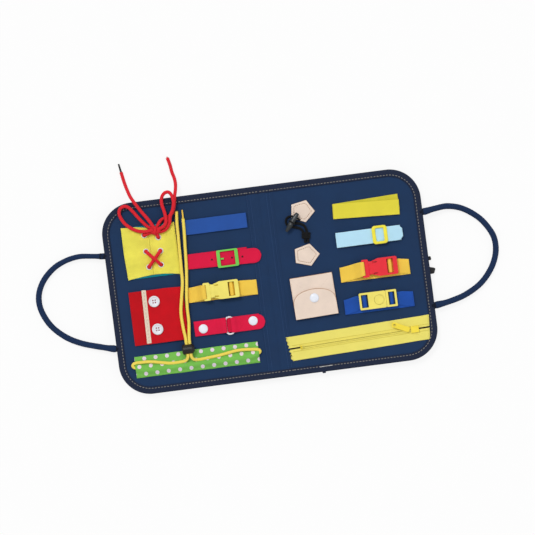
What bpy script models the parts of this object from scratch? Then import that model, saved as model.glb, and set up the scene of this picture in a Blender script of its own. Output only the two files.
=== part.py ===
"""A cloth quiet book for practising fasteners, lying open.

Two padded leaves fold about a narrow spine. The left leaf carries lacing, a drawstring with a cord lock,
a hook and loop strip, a belt, a side release buckle, a snapped belt and a buttoned panel.
The right leaf carries a toggle, a folded hook and loop strip, a strap with a sliding buckle, a side release
buckle, a centre release buckle, a snapped leather pouch and a zipper.
The origin is the middle of the open book on the surface it lies on: X to the right leaf, Y to the top edge.
"""

import math

import bmesh
import bpy
from mathutils import Matrix, Vector

MM = 0.001

# The open book
HALF_WIDTH = 215.0 * MM
HALF_HEIGHT = 129.0 * MM
CORNER_RADIUS = 42.0 * MM
SPINE_WIDTH = 24.0 * MM
FIT_GAP = 0.3 * MM
OVERRUN = 1.0 * MM

# Layers of a leaf, from the floor up
PAD_DEPTH = 8.0 * MM
BACK_CLOTH = 1.2 * MM
BOARD_THICKNESS = 2.5 * MM
LINING_THICKNESS = 1.1 * MM
BINDING_WIDTH = 7.0 * MM
BINDING_WALL = 1.2 * MM
BOARD_MARGIN = 9.0 * MM
PAD_MARGIN = 16.0 * MM
PAD_CORNER = 30.0 * MM
PAD_ROUNDING = 5.0 * MM
CHANNEL_HALF_WIDTH = 17.0 * MM
BINDING_SETBACK = 1.8 * MM

# Handles
HANDLE_DIAMETER = 8.0 * MM

# Strip goods
FELT = 1.0 * MM
STRAP_THICKNESS = 1.2 * MM
STRAP_WIDTH = 20.0 * MM
LEATHER = 1.2 * MM

# Lacing panel
LACING_WIDTH = 72.0 * MM
LACING_HEIGHT = 70.6 * MM
LACING_SPLIT = 0.6 * MM
LACING_DIP = 2.6 * MM
EYELET_RADIUS = 3.9 * MM
EYELET_BARREL = 3.1 * MM
EYELET_BORE = 2.6 * MM
EYELET_LIP = 0.8 * MM
EYELET_LIP_SHARE = 0.6
LACE_DIAMETER = 4.6 * MM
KNOT_LENGTH = 12.6 * MM
KNOT_RADIUS = 4.6 * MM
AGLET_SHARE = 0.55
AGLET_LENGTH = 11.0 * MM

# Drawstring, its tunnel and its cord lock
TUNNEL_LENGTH = 166.5 * MM
TUNNEL_WIDTH = 28.6 * MM
DRAWSTRING_DIAMETER = 4.2 * MM
TUNNEL_CLEARANCE = 0.4 * MM
TUNNEL_LANE_SHARE = -0.255
TUNNEL_CROWN_SHARE = 0.6
TUNNEL_SHOULDER_SHARES = (0.7, 0.75)
LOCK_DIAMETER = 13.6 * MM
LOCK_WALL = 1.7 * MM
LOCK_END_WALL = 1.2 * MM
LOCK_CLEARANCE = 0.5 * MM
LOCK_LANE_SHIFT = 0.9 * MM
PLUNGER_WALL = 1.0 * MM
PLUNGER_TRAVEL = 1.4 * MM
PLUNGER_PROUD = 1.8 * MM
LOCK_TAPER_SHARES = (0.9, 0.85)

# Hook and loop strips
BLUE_STRIP_LENGTH = 90.0 * MM
YELLOW_STRIP_LENGTH = 90.0 * MM

# Belt with a frame buckle
BELT_LENGTH = 82.0 * MM
BELT_TAIL_LENGTH = 94.2 * MM
BELT_HOLE_RADIUS = 1.7 * MM
FRAME_LENGTH = 28.6 * MM
FRAME_WIDTH = 23.6 * MM
FRAME_BAR = 4.4 * MM
FRAME_RAIL = 2.2 * MM
FRAME_THICKNESS = 2.2 * MM
FRAME_CORNER = 2.0 * MM
PRONG_WIDTH = 2.0 * MM
PRONG_RADIUS = 1.0 * MM
PRONG_LENGTH = 3.4 * MM
BELT_HOLE_SHARES = (0.360, 0.513, 0.647, 0.796)
FOLD_WIDTH_SHARE = 0.9
PRONG_CROOK_SHARE = 1.8
FRAME_PLACE_SHARE = 0.585

# Side release buckles on the pages
BUCKLE_WEBBING_LENGTH = 93.4 * MM
BUCKLE_LENGTH = 47.6 * MM
BUCKLE_WIDTH = 24.0 * MM
BUCKLE_THICKNESS = 7.0 * MM
BUCKLE_BLOCK = 9.0 * MM
BUCKLE_NECK = 6.5 * MM
BUCKLE_ARM = 2.6 * MM
BUCKLE_WALL = 1.6 * MM
BUCKLE_SLOT = 8.4 * MM
BUCKLE_END_BAR = 5.6 * MM
BUCKLE_WAIST_SHARE = 0.6
BUCKLE_OFFSETS = (-1.6 * MM, 6.6 * MM)
BUCKLE_LIFTS = (2.0 * MM, 4.6 * MM)

# Closure buckle on the back
CLOSURE_LENGTH = 44.0 * MM
CLOSURE_WIDTH = 29.0 * MM
CLOSURE_THICKNESS = 5.9 * MM
CLOSURE_BLOCK = 12.0 * MM
CLOSURE_PROUD = 6.5 * MM
CLOSURE_TAB = 16.0 * MM
CLOSURE_TAB_INSETS = (23.4 * MM, 33.2 * MM)

# Snapped belt
SNAP_BELT_LENGTH = 88.0 * MM
SNAP_RADIUS = 6.2 * MM
SNAP_HEIGHT = 2.9 * MM
SNAP_SHAPE = ((0.0, 0.0), (1.0, 0.0), (1.0, 0.5), (0.82, 0.85), (0.45, 1.0), (0.0, 1.0))
RING_LENGTH = 25.2 * MM
RING_WIDTH = 12.4 * MM
RING_WIRE = 2.4 * MM
SNAP_LEFT_LENGTH = 46.3 * MM
SNAP_RIGHT_LENGTH = 49.0 * MM
SNAP_SPLIT = 5.9 * MM
SNAP_FOLD_SHARE = 0.0256
SNAP_CAP_SHARES = ((-0.744, -0.045), (0.712, 0.107))
SNAP_DROP_SHARE = 0.04
RING_PLACE_SHARE = 0.039
RING_DROP_SHARE = 0.04
RING_CORNER_SHARE = 0.45

# Buttoned panel
PANEL_WIDTH = 72.9 * MM
PANEL_HEIGHT = 72.0 * MM
INNER_FLAP_WIDTH = 44.0 * MM
OUTER_FLAP_WIDTH = 56.2 * MM
PANEL_FELT_WIDTH = 64.0 * MM
PANEL_FELT_HEIGHT = 66.0 * MM
BUTTON_RADIUS = 7.6 * MM
BUTTON_THICKNESS = 2.6 * MM
BUTTON_SHANK = 1.5 * MM
BUTTON_SHAPE = ((0.8, 0.0), (1.0, 0.4), (0.9, 1.0), (0.66, 1.0), (0.56, 0.7), (0.0, 0.7))
BUTTON_CLEARANCE = 0.8 * MM
BUTTON_PLACE_SHARE = 0.4534
BUTTON_ROW_SHARES = (0.2792, -0.2389)

# Toggle
PATCH_RADIUS = 16.6 * MM
TOGGLE_LENGTH = 29.0 * MM
TOGGLE_RADIUS = 3.6 * MM
TOGGLE_SHAPE = (
    (0.0, -1.0), (0.39, -1.0), (0.56, -0.9), (1.0, -0.3), (1.0, 0.4), (0.78, 0.85), (0.61, 1.0), (0.0, 1.0),
)
TOGGLE_CORD = 2.6 * MM

# Strap with a sliding buckle
SLIDE_STRAP_LENGTH = 88.0 * MM
SLIDER_LENGTH = 21.8 * MM
SLIDER_WIDTH = 25.6 * MM
SLIDER_BAR = 3.6 * MM
SLIDER_RAIL = 2.3 * MM
SLIDER_THICKNESS = 1.8 * MM
SLIDER_CENTRE_BAR = 4.0 * MM
SLIDER_PLACE_SHARE = 0.170

# Centre release buckle
CENTRE_LENGTH = 50.2 * MM
CENTRE_WIDTH = 22.6 * MM
CENTRE_HOUSING = 35.6 * MM
CENTRE_BUTTON_RADIUS = 6.5 * MM
CENTRE_SLOT = 9.0 * MM
CENTRE_END_BAR = 2.6 * MM
CENTRE_TONGUE = 1.5 * MM
BUTTON_PROUD = 0.6 * MM
CENTRE_BUTTON_SHARE = 0.56
CENTRE_SHIFT = -1.2 * MM
CENTRE_LIFT_SHARE = 0.22

# Snapped pouch
POUCH_WIDTH = 57.4 * MM
POUCH_HEIGHT = 55.6 * MM
POUCH_FELT_MARGIN = 4.0 * MM
POUCH_FLAP_HEIGHT = 37.6 * MM
POUCH_CAP_SHARE = 0.68
POUCH_CROWN_POWER = 0.8

# Zipper
TAPE_LENGTH = 189.8 * MM
TAPE_WIDTH = 32.6 * MM
TAPE_THICKNESS = 0.9 * MM
TAPE_SPLIT = 1.6 * MM
TAPE_SLANT = 1.7 * MM
ZIP_SLIT_SHARE = 0.078
CHAIN_WIDTH = 4.6 * MM
CHAIN_HEIGHT = 1.5 * MM
SLIDER_BODY_LENGTH = 10.5 * MM
SLIDER_BODY_WIDTH = 8.6 * MM
SLIDER_PLATE = 1.3 * MM
PULL_LENGTH = 25.0 * MM
PULL_WIDTH = 7.0 * MM
PULL_THICKNESS = 1.5 * MM
PULL_HOLE = 1.9 * MM
PULL_CORNER_SHARE = 0.3
PULL_SETBACK = 0.8 * MM

# Where each feature's middle sits on its leaf, as shares of the leaf's width from the spine
# and of the book's height from its middle line.
PLACE_SHARES = {
    "lacing": (0.6936, 0.2360),
    "panel": (0.6958, -0.1031),
    "blue_strip": (0.2611, 0.3329),
    "belt": (0.2357, 0.1555),
    "left_buckle": (0.2576, -0.0182),
    "snap_belt": (0.2562, -0.1950),
    "tunnel": (0.4815, -0.3539),
    "lock": (0.5305, -0.2918),
    "upper_patch": (0.2133, 0.3395),
    "lower_patch": (0.2034, 0.1143),
    "toggle": (0.1350, 0.2895),
    "yellow_strip": (0.6291, 0.3240),
    "slide_strap": (0.6270, 0.1674),
    "right_buckle": (0.6377, -0.0143),
    "centre_buckle": (0.6384, -0.1833),
    "pouch": (0.2177, -0.1039),
    "zipper": (0.4805, -0.3494),
    "closure": (0.5000, -0.0271),
}

# Turns about Z, in degrees
TAIL_TURN = -1.6
POUCH_TURN = 2.0
ZIP_TURN = 1.8
STRIP_BASE_TURN = 1.9
STRIP_FLAP_TURN = -3.1
TOGGLE_TURN = 51.0
PULL_TURN = -27.0
CLOSURE_TURN = 6.0
PATCH_TURNS = (-7.0, -2.0)
QUARTER = 90.0
HALF_TURN = 180.0
FULL_TURN = 360.0
FOLD_STEPS = 8
CORD_SIDES = 8
HANDLE_SIDES = 10
BALL_SHARES = (0.4, 0.75, 0.95)
SMALL_SHARE = 0.05
ROUND_SIDES = 12

LEAF_WIDTH = HALF_WIDTH - SPINE_WIDTH / 2
BACK_TOP = PAD_DEPTH + BACK_CLOTH
BOARD_BOTTOM = BACK_TOP + FIT_GAP
LINING_BOTTOM = BOARD_BOTTOM + BOARD_THICKNESS + FIT_GAP
PAGE_TOP = LINING_BOTTOM + LINING_THICKNESS
RIM_MIDDLE = (PAD_DEPTH + PAGE_TOP) / 2
FIRST_LAYER = PAGE_TOP + FIT_GAP

# The free cords' routes, in millimetres from the book's origin, chosen by hand.
# The handles' routes start at the leaf's edge.
LACE_CROSS_ROUTES = (
    (
        (-159.1, 61.2, 15.4), (-159.1, 61.2, 17.8), (-158.0, 60.1, 20.2), (-155.0, 56.8, 22.4),
        (-150.2, 51.6, 24.2),
        (-145.2, 46.0, 22.4), (-142.2, 42.4, 20.2), (-141.2, 41.2, 17.8), (-141.2, 41.2, 15.4),
    ),
    (
        (-139.7, 59.7, 15.4), (-139.7, 59.7, 17.8), (-140.8, 58.5, 19.7), (-143.6, 55.4, 20.0),
        (-148.6, 49.9, 20.0),
        (-153.7, 44.2, 20.0), (-156.5, 41.2, 19.7), (-157.6, 40.0, 17.8), (-157.6, 40.0, 15.4),
    ),
)
LACE_TOP_ROUTES = (
    (
        (-158.8, 83.0, 15.4), (-158.8, 83.0, 17.8), (-157.6, 83.3, 19.7), (-154.4, 84.1, 20.0),
        (-150.6, 85.1, 19.6), (-145.0, 86.8, 19.8),
    ),
    ((-140.3, 78.0, 15.4), (-140.3, 78.0, 17.8), (-140.6, 79.4, 19.8), (-142.0, 82.8, 20.4),
    (-142.6, 86.0, 20.4)),
)
LACE_BOW_ROUTES = (
    (
        (-145.2, 88.0, 22.6), (-149.6, 88.0, 23.4), (-158.0, 87.6, 22.4), (-167.0, 90.0, 20.4),
        (-176.6, 95.8, 18.9),
        (-184.0, 104.0, 17.6), (-188.0, 114.0, 17.2), (-186.6, 121.2, 17.8), (-181.0, 124.6, 17.9),
        (-175.0, 122.6, 17.8), (-168.8, 115.0, 17.2), (-163.2, 106.8, 17.4), (-157.4, 99.4, 18.7),
        (-151.9, 93.4, 18.9), (-147.9, 91.0, 19.5), (-144.6, 89.2, 20.2),
    ),
    (
        (-140.6, 88.4, 22.2), (-136.7, 89.1, 23.1), (-131.2, 91.4, 23.2), (-127.4, 96.6, 22.2),
        (-126.8, 103.4, 21.4),
        (-128.2, 112.4, 19.4), (-130.0, 121.6, 19.2), (-128.8, 130.4, 18.6), (-124.4, 135.6, 17.6),
        (-119.0, 136.0, 18.2), (-115.4, 131.2, 20.4), (-113.8, 122.4, 22.4), (-116.2, 112.2, 21.8),
        (-120.8, 103.4, 21.6), (-122.8, 95.0, 20.2), (-127.4, 88.4, 19.2), (-132.6, 85.6, 19.0),
        (-137.4, 85.4, 19.1), (-140.8, 86.8, 20.0),
    ),
    (
        (-143.6, 89.6, 22.0), (-144.9, 92.4, 22.9), (-147.6, 98.0, 23.0), (-152.8, 106.4, 20.0),
        (-159.4, 116.2, 18.0),
        (-165.2, 126.0, 17.9), (-168.3, 131.6, 17.0), (-171.3, 137.6, 12.8), (-174.2, 146.0, 6.0),
        (-176.4, 154.0, 2.9), (-178.0, 162.0, 2.6), (-179.6, 171.4, 2.6),
    ),
    (
        (-141.6, 90.0, 20.0), (-140.0, 92.4, 19.4), (-136.6, 97.2, 18.8), (-133.0, 100.6, 16.9),
        (-127.6, 102.6, 16.2),
        (-122.0, 104.4, 16.1), (-117.6, 108.6, 16.1), (-114.6, 115.2, 16.3), (-113.0, 121.6, 17.4),
        (-111.6, 129.6, 17.9), (-109.6, 138.2, 14.2), (-108.8, 146.4, 7.8), (-109.6, 154.4, 3.4),
        (-111.8, 163.0, 2.6), (-113.0, 172.4, 2.6), (-115.4, 182.6, 2.6),
    ),
)
KNOT_MIDDLE = (-142.7, 88.0, 21.0)
KNOT_SHARES = ((-0.5, 0.46), (-0.31, 0.82), (0.0, 1.0), (0.31, 0.82), (0.5, 0.46))
DRAWSTRING_ROUTE = (
    (-111.8, 109.2, 15.9), (-112.6, 101.0, 16.4), (-113.2, 92.0, 18.7), (-113.6, 76.0, 18.9),
    (-114.2, 60.0, 18.7), (-114.6, 44.0, 18.7), (-115.2, 28.0, 18.8), (-116.0, 13.0, 19.9),
    (-119.6, -6.0, 19.9), (-123.0, -26.0, 19.9), (-122.6, -46.0, 20.1), (-121.3, -58.0, 21.4),
    (-121.1, -65.0, 21.8), (-121.1, -75.0, 21.8), (-121.1, -85.0, 21.8), (-124.6, -90.0, 19.4),
    (-132.0, -91.2, 17.4), (-145.6, -91.0, 17.3), (-158.0, -88.6, 17.3), (-172.0, -85.8, 17.3),
    (-186.8, -85.0, 17.3), (-194.4, -85.8, 17.2), (-198.8, -88.8, 16.8), (-199.2, -94.0, 16.4),
    (-196.2, -97.6, 16.2), (-190.0, -98.6, 16.2), (-170.0, -98.6, 16.2), (-140.0, -98.6, 16.2),
    (-110.0, -98.6, 16.2), (-80.0, -98.6, 16.2), (-50.0, -98.6, 16.2), (-30.0, -98.6, 16.2),
    (-23.6, -97.8, 16.2), (-20.2, -94.4, 16.6), (-21.2, -90.0, 17.0), (-25.6, -87.8, 17.3),
    (-33.8, -86.6, 17.3), (-54.4, -85.6, 17.3), (-77.9, -88.8, 17.3), (-98.5, -90.6, 17.3),
    (-107.4, -91.0, 17.8), (-113.8, -89.8, 20.2), (-116.5, -85.0, 21.8), (-116.5, -75.0, 21.8),
    (-116.5, -65.0, 21.8), (-116.1, -58.0, 21.3), (-114.2, -40.0, 19.6), (-113.9, -22.0, 19.3),
    (-112.6, -4.0, 19.3), (-110.2, 12.0, 19.0), (-107.8, 30.0, 18.9), (-106.4, 46.0, 18.9),
    (-105.2, 62.0, 18.9), (-104.0, 80.0, 18.9), (-103.5, 92.0, 18.9), (-103.4, 98.6, 18.7),
    (-103.5, 104.0, 17.6),
)
TOGGLE_LOOP_ROUTE = (
    (57.2, 46.9, 15.3), (56.8, 54.6, 15.3), (55.4, 63.4, 15.3), (51.0, 67.8, 15.3), (44.0, 69.4, 15.3),
    (39.4, 70.6, 15.3), (37.4, 72.6, 15.3), (39.2, 74.4, 15.3), (44.8, 73.6, 15.3), (52.0, 72.0, 15.3),
    (57.8, 68.4, 15.3), (59.9, 62.0, 15.3), (60.4, 54.6, 15.3), (60.6, 46.9, 15.3),
)
HANDLE_ROUTES = {
    1: (
        (4.3, 67.0, 10.7), (17.0, 69.0, 9.6), (35.0, 70.0, 7.0), (55.0, 64.0, 4.9), (75.0, 49.0, 4.3),
        (88.0, 30.0, 4.2), (92.3, 14.0, 4.2), (90.0, -4.0, 4.2), (81.0, -22.0, 4.3), (65.0, -39.0, 4.9),
        (43.0, -51.0, 6.4), (21.0, -57.0, 9.4), (4.3, -59.4, 10.7),
    ),
    -1: (
        (-4.3, 62.4, 10.7), (-17.0, 64.2, 9.6), (-35.0, 66.0, 7.0), (-53.0, 62.6, 4.9), (-69.0, 55.0, 4.3),
        (-84.0, 41.0, 4.2), (-92.3, 24.0, 4.2), (-92.3, 4.0, 4.2), (-83.0, -20.0, 4.2), (-67.0, -38.0, 4.4),
        (-47.0, -49.6, 5.8), (-23.0, -57.4, 9.2), (-4.3, -62.4, 10.7),
    ),
}
LACE_SPACING = 9.5 * MM
DRAWSTRING_SPACING = 9.4 * MM
LOOP_SPACING = 4.6 * MM
HANDLE_SPACING = 14.0 * MM
CROSS_SPACING = 2.4 * MM

EYELET_PLACES_SHARE = (
    (-0.083, 0.313), (0.174, 0.242), (-0.087, 0.004), (0.182, -0.017), (-0.067, -0.296), (0.161, -0.279),
)

COLOURS = {
    "navy": (0.014, 0.035, 0.103),
    "dark_navy": (0.019, 0.024, 0.052),
    "board": (0.42, 0.36, 0.27),
    "lemon": (0.79, 0.72, 0.11),
    "teal": (0.0, 0.21, 0.27),
    "white": (0.86, 0.86, 0.88),
    "lace_red": (0.74, 0.025, 0.04),
    "green": (0.12, 0.46, 0.035),
    "cord_yellow": (0.92, 0.72, 0.11),
    "black": (0.012, 0.012, 0.013),
    "blue": (0.025, 0.09, 0.38),
    "belt_red": (0.72, 0.014, 0.06),
    "buckle_green": (0.15, 0.56, 0.07),
    "orange": (0.88, 0.54, 0.055),
    "buckle_yellow": (0.87, 0.74, 0.12),
    "panel_red": (0.58, 0.01, 0.014),
    "leather": (0.81, 0.66, 0.56),
    "horn": (0.035, 0.045, 0.055),
    "yellow_strip": (0.77, 0.72, 0.06),
    "light_blue": (0.42, 0.73, 0.89),
    "bright_yellow": (0.86, 0.74, 0.05),
    "buckle_red": (0.8, 0.03, 0.04),
    "zip_yellow": (0.80, 0.72, 0.16),
}
CLOTH_ROUGHNESS = 0.9
PLASTIC_ROUGHNESS = 0.35


def arc(centre, radius, start, end, steps):
    """Points on an arc, from the start angle to the end angle in degrees."""
    angles = [math.radians(start + (end - start) * k / steps) for k in range(steps + 1)]
    return [(centre[0] + radius * math.cos(a), centre[1] + radius * math.sin(a)) for a in angles]


def rectangle(length, width, middle=(0.0, 0.0)):
    """A rectangle's corners, counterclockwise."""
    x, y, a, b = middle[0], middle[1], length / 2, width / 2
    return [(x - a, y - b), (x + a, y - b), (x + a, y + b), (x - a, y + b)]


def rounded(length, width, radius, middle=(0.0, 0.0), steps=3):
    """A rectangle with rounded corners."""
    points = []
    for k, (sx, sy) in enumerate(((-1, -1), (1, -1), (1, 1), (-1, 1))):
        centre = (middle[0] + sx * (length / 2 - radius), middle[1] + sy * (width / 2 - radius))
        points += arc(centre, radius, HALF_TURN + QUARTER * k, HALF_TURN + QUARTER * (k + 1), steps)
    return points


def circle(radius, middle=(0.0, 0.0), sides=ROUND_SIDES):
    """A circle's points, counterclockwise."""
    return arc(middle, radius, 0.0, FULL_TURN, sides)[:-1]


def tongue(start, end, width, steps=6):
    """A strip along X with a half round tip at its end."""
    radius = width / 2
    return [(start, -radius)] + arc((end - radius, 0.0), radius, -QUARTER, QUARTER, steps) + [(start, radius)]


def prism(outline, bottom, top, holes=()):
    """A closed solid that stands on an outline in the XY plane."""
    bm = bmesh.new()
    for loop in (outline, *holes):
        verts = [bm.verts.new((x, y, bottom)) for x, y in loop]
        if holes:
            for a, b in zip(verts, verts[1:] + verts[:1]):
                bm.edges.new((a, b))
        else:
            bm.faces.new(verts)
    if holes:
        bmesh.ops.triangle_fill(bm, edges=bm.edges[:], use_beauty=True, use_dissolve=False)
    raised = bmesh.ops.extrude_face_region(bm, geom=bm.faces[:])["geom"]
    moving = [item for item in raised if isinstance(item, bmesh.types.BMVert)]
    bmesh.ops.translate(bm, verts=moving, vec=(0.0, 0.0, top - bottom))
    bmesh.ops.recalc_face_normals(bm, faces=bm.faces[:])
    return bm


def side_prism(outline, width):
    """A closed solid whose outline is in the XZ plane and which runs along Y, about the middle."""
    bm = prism(outline, -width / 2, width / 2)
    bm.transform(Matrix.Rotation(math.radians(QUARTER), 4, "X"))
    return bm


def loft(rings):
    """A closed solid through rings of equally many points, capped at both ends."""
    bm = bmesh.new()
    rows = [[bm.verts.new(point) for point in ring] for ring in rings]
    count = len(rows[0])
    for low, high in zip(rows, rows[1:]):
        for k in range(count):
            bm.faces.new((low[k], low[(k + 1) % count], high[(k + 1) % count], high[k]))
    bm.faces.new(rows[0])
    bm.faces.new(rows[-1])
    bmesh.ops.recalc_face_normals(bm, faces=bm.faces[:])
    return bm


def turned(profile, sides=ROUND_SIDES, closed=False):
    """A solid turned about Z. A profile of (radius, height) runs from axis to axis, or is closed."""
    bm = bmesh.new()
    rows = []
    for radius, height in profile:
        if radius > 0:
            angles = [math.tau * k / sides for k in range(sides)]
            rows.append([bm.verts.new((radius * math.cos(a), radius * math.sin(a), height)) for a in angles])
        else:
            rows.append([bm.verts.new((0.0, 0.0, height))])
    pairs = list(zip(rows, rows[1:] + rows[:1])) if closed else list(zip(rows, rows[1:]))
    for low, high in pairs:
        for k in range(sides):
            n = (k + 1) % sides
            corners = [low[k % len(low)], low[n % len(low)], high[n % len(high)], high[k % len(high)]]
            unique = []
            for vert in corners:
                if vert not in unique:
                    unique.append(vert)
            bm.faces.new(unique)
    bmesh.ops.recalc_face_normals(bm, faces=bm.faces[:])
    return bm


def moved(bm, x=0.0, y=0.0, z=0.0, turn=0.0):
    """Turns a solid about Z, then moves it."""
    bm.transform(Matrix.Translation((x, y, z)) @ Matrix.Rotation(math.radians(turn), 4, "Z"))
    return bm


def laid(bm):
    """Lays a solid that stands along Z down along X."""
    bm.transform(Matrix.Rotation(math.radians(QUARTER), 4, "Y"))
    return bm


def smooth_route(route, spacing):
    """Evenly spaced points on a smooth curve through a cord's route."""
    knots = [Vector(point) * MM for point in route]
    ends = [knots[0] * 2 - knots[1]] + knots + [knots[-1] * 2 - knots[-2]]
    fine = []
    parts = 12
    for a, b, c, d in zip(ends, ends[1:], ends[2:], ends[3:]):
        for k in range(parts):
            t = k / parts
            square, cube = a * 2 - b * 5 + c * 4 - d, b * 3 - a - c * 3 + d
            fine.append((b * 2 + (c - a) * t + square * t**2 + cube * t**3) / 2)
    fine.append(knots[-1])
    lengths = [0.0]
    for a, b in zip(fine, fine[1:]):
        lengths.append(lengths[-1] + (b - a).length)
    count = max(2, round(lengths[-1] / spacing))
    points, place = [], 0
    for k in range(count + 1):
        goal = lengths[-1] * k / count
        while place < len(lengths) - 2 and lengths[place + 1] < goal:
            place += 1
        span = lengths[place + 1] - lengths[place]
        share = (goal - lengths[place]) / span if span > 0 else 0.0
        points.append(fine[place].lerp(fine[place + 1], min(1.0, share)))
    return points


def principled(name, colour, roughness, metallic):
    """A plain material in one colour."""
    material = bpy.data.materials.new(name)
    material.use_nodes = True
    shader = material.node_tree.nodes["Principled BSDF"]
    shader.inputs["Base Color"].default_value = (*COLOURS[colour], 1.0)
    shader.inputs["Roughness"].default_value = roughness
    shader.inputs["Metallic"].default_value = metallic
    return material


def add_object(name, data, colour, roughness, origin, metallic=0.0):
    """Links a named object with its own material, its origin on its joint's axis."""
    thing = bpy.data.objects.new(name, data)
    bpy.context.scene.collection.objects.link(thing)
    data.materials.append(principled(name, colour, roughness, metallic))
    thing.location = origin
    return thing


def piece(name, body, colour, roughness=CLOTH_ROUGHNESS, origin=(0.0, 0.0, 0.0), smooth=False):
    """Makes a named object of one closed body."""
    mesh = bpy.data.meshes.new(name)
    body.transform(Matrix.Translation(-Vector(origin)))
    body.to_mesh(mesh)
    body.free()
    if smooth:
        mesh.shade_smooth()
        mesh.set_sharp_from_angle(angle=math.radians(FULL_TURN / ROUND_SIDES))
    return add_object(name, mesh, colour, roughness, origin)


def combined(base, others, operation):
    """One solid from a base and others, by union, difference or intersection."""
    scene = bpy.context.scene
    made = []
    for bm in (base, *others):
        mesh = bpy.data.meshes.new("shape")
        bm.to_mesh(mesh)
        bm.free()
        thing = bpy.data.objects.new("shape", mesh)
        scene.collection.objects.link(thing)
        made.append(thing)
    for other in made[1:]:
        cut = made[0].modifiers.new("combine", "BOOLEAN")
        cut.operation = operation
        cut.solver = "EXACT"
        cut.object = other
    bpy.context.view_layer.update()
    graph = bpy.context.evaluated_depsgraph_get()
    mesh = bpy.data.meshes.new_from_object(made[0].evaluated_get(graph))
    result = bmesh.new()
    result.from_mesh(mesh)
    bpy.data.meshes.remove(mesh)
    for thing in made:
        data = thing.data
        bpy.data.objects.remove(thing)
        bpy.data.meshes.remove(data)
    return result


def cord_object(name, points, diameter, colour, cyclic=False):
    """A round cord through its points."""
    curve = bpy.data.curves.new(name, "CURVE")
    curve.dimensions = "3D"
    curve.bevel_depth = diameter / 2
    curve.bevel_resolution = 2
    curve.use_fill_caps = True
    spline = curve.splines.new("POLY")
    spline.points.add(len(points) - 1)
    for place, point in zip(spline.points, points):
        place.co = (*point, 1.0)
    spline.use_cyclic_u = cyclic
    spline.use_smooth = True
    return add_object(name, curve, colour, CLOTH_ROUGHNESS, (0.0, 0.0, 0.0))


def ring_about(point, along, radius, sides):
    """A ring of points square to a direction."""
    across = along.cross(Vector((0.0, 0.0, 1.0)))
    if across.length < SMALL_SHARE:
        across = Vector((0.0, 1.0, 0.0))
    across.normalize()
    up = across.cross(along)
    turns = [math.tau * k / sides for k in range(sides)]
    return [point + across * (radius * math.cos(a)) + up * (radius * math.sin(a)) for a in turns]


def tube(points, radius, sides, ball_ends=False):
    """Round cord as a solid, with flat or ball ends."""
    rings = []
    previous = None
    last = len(points) - 1
    for k, point in enumerate(points):
        along = (points[min(k + 1, last)] - points[max(k - 1, 0)]).normalized()
        if previous is None:
            ring = ring_about(point, along, radius, sides)
        else:
            turn = previous.rotation_difference(along)
            ring = [point + turn @ (corner - points[k - 1]) for corner in rings[-1]]
        previous = along
        rings.append(ring)
    if ball_ends:
        first = (points[0] - points[1]).normalized()
        final = (points[-1] - points[-2]).normalized()
        start = ball(points[0], rings[0], first, radius)[::-1]
        rings = start + rings + ball(points[-1], rings[-1], final, radius)
    return loft(rings)


def ball(middle, ring, outward, radius):
    """The rings that close a tube with a half ball."""
    caps = []
    for share in BALL_SHARES:
        spread = math.sqrt(1 - share**2)
        caps.append([middle + (corner - middle) * spread + outward * (radius * share) for corner in ring])
    return caps


def place(side, name):
    """The middle of a feature on its leaf."""
    across, along = PLACE_SHARES[name]
    return side * (SPINE_WIDTH / 2 + across * LEAF_WIDTH), along * HALF_HEIGHT * 2


def on_side(bm, side):
    """Mirrors a solid of the right leaf to the left one."""
    if side < 0:
        bm.transform(Matrix.Scale(-1.0, 4, (1.0, 0.0, 0.0)))
        bmesh.ops.recalc_face_normals(bm, faces=bm.faces[:])
    return bm


def leaf_outline(inset):
    """The right leaf's outline, drawn in by inset along its three bound sides."""
    left, right, top = SPINE_WIDTH / 2 + FIT_GAP, HALF_WIDTH - inset, HALF_HEIGHT - inset
    radius = CORNER_RADIUS - inset
    lower = arc((right - radius, radius - top), radius, -QUARTER, 0.0, FOLD_STEPS)
    upper = arc((right - radius, top - radius), radius, 0.0, QUARTER, FOLD_STEPS)
    return [(left, -top)] + lower + upper + [(left, top)]


def binding_section():
    """The folded binding's section: how far in from the edge, and how high."""
    wall, low, high = BINDING_WALL, PAD_DEPTH - FIT_GAP, PAGE_TOP + FIT_GAP
    inside = wall - FIT_GAP
    return [
        (BINDING_WIDTH, high), (BINDING_WIDTH, high + wall), (wall, high + wall), (0.0, high),
        (0.0, low), (wall, low - wall), (BINDING_WIDTH, low - wall), (BINDING_WIDTH, low),
        (inside, low), (inside, high),
    ]


def leaf_binding():
    """The folded tape along the three free sides of the right leaf."""
    radius = CORNER_RADIUS
    right, top, left = HALF_WIDTH, HALF_HEIGHT, SPINE_WIDTH / 2 + BINDING_SETBACK
    stations = [((left, -top), (0.0, 1.0))]
    for middle, start in (((right - radius, radius - top), -QUARTER), ((right - radius, top - radius), 0.0)):
        for x, y in arc(middle, radius, start, start + QUARTER, FOLD_STEPS):
            stations.append(((x, y), ((middle[0] - x) / radius, (middle[1] - y) / radius)))
    stations.append(((left, top), (0.0, -1.0)))
    section = binding_section()
    return loft([[(p[0] + n[0] * u, p[1] + n[1] * u, z) for u, z in section] for p, n in stations])


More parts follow.
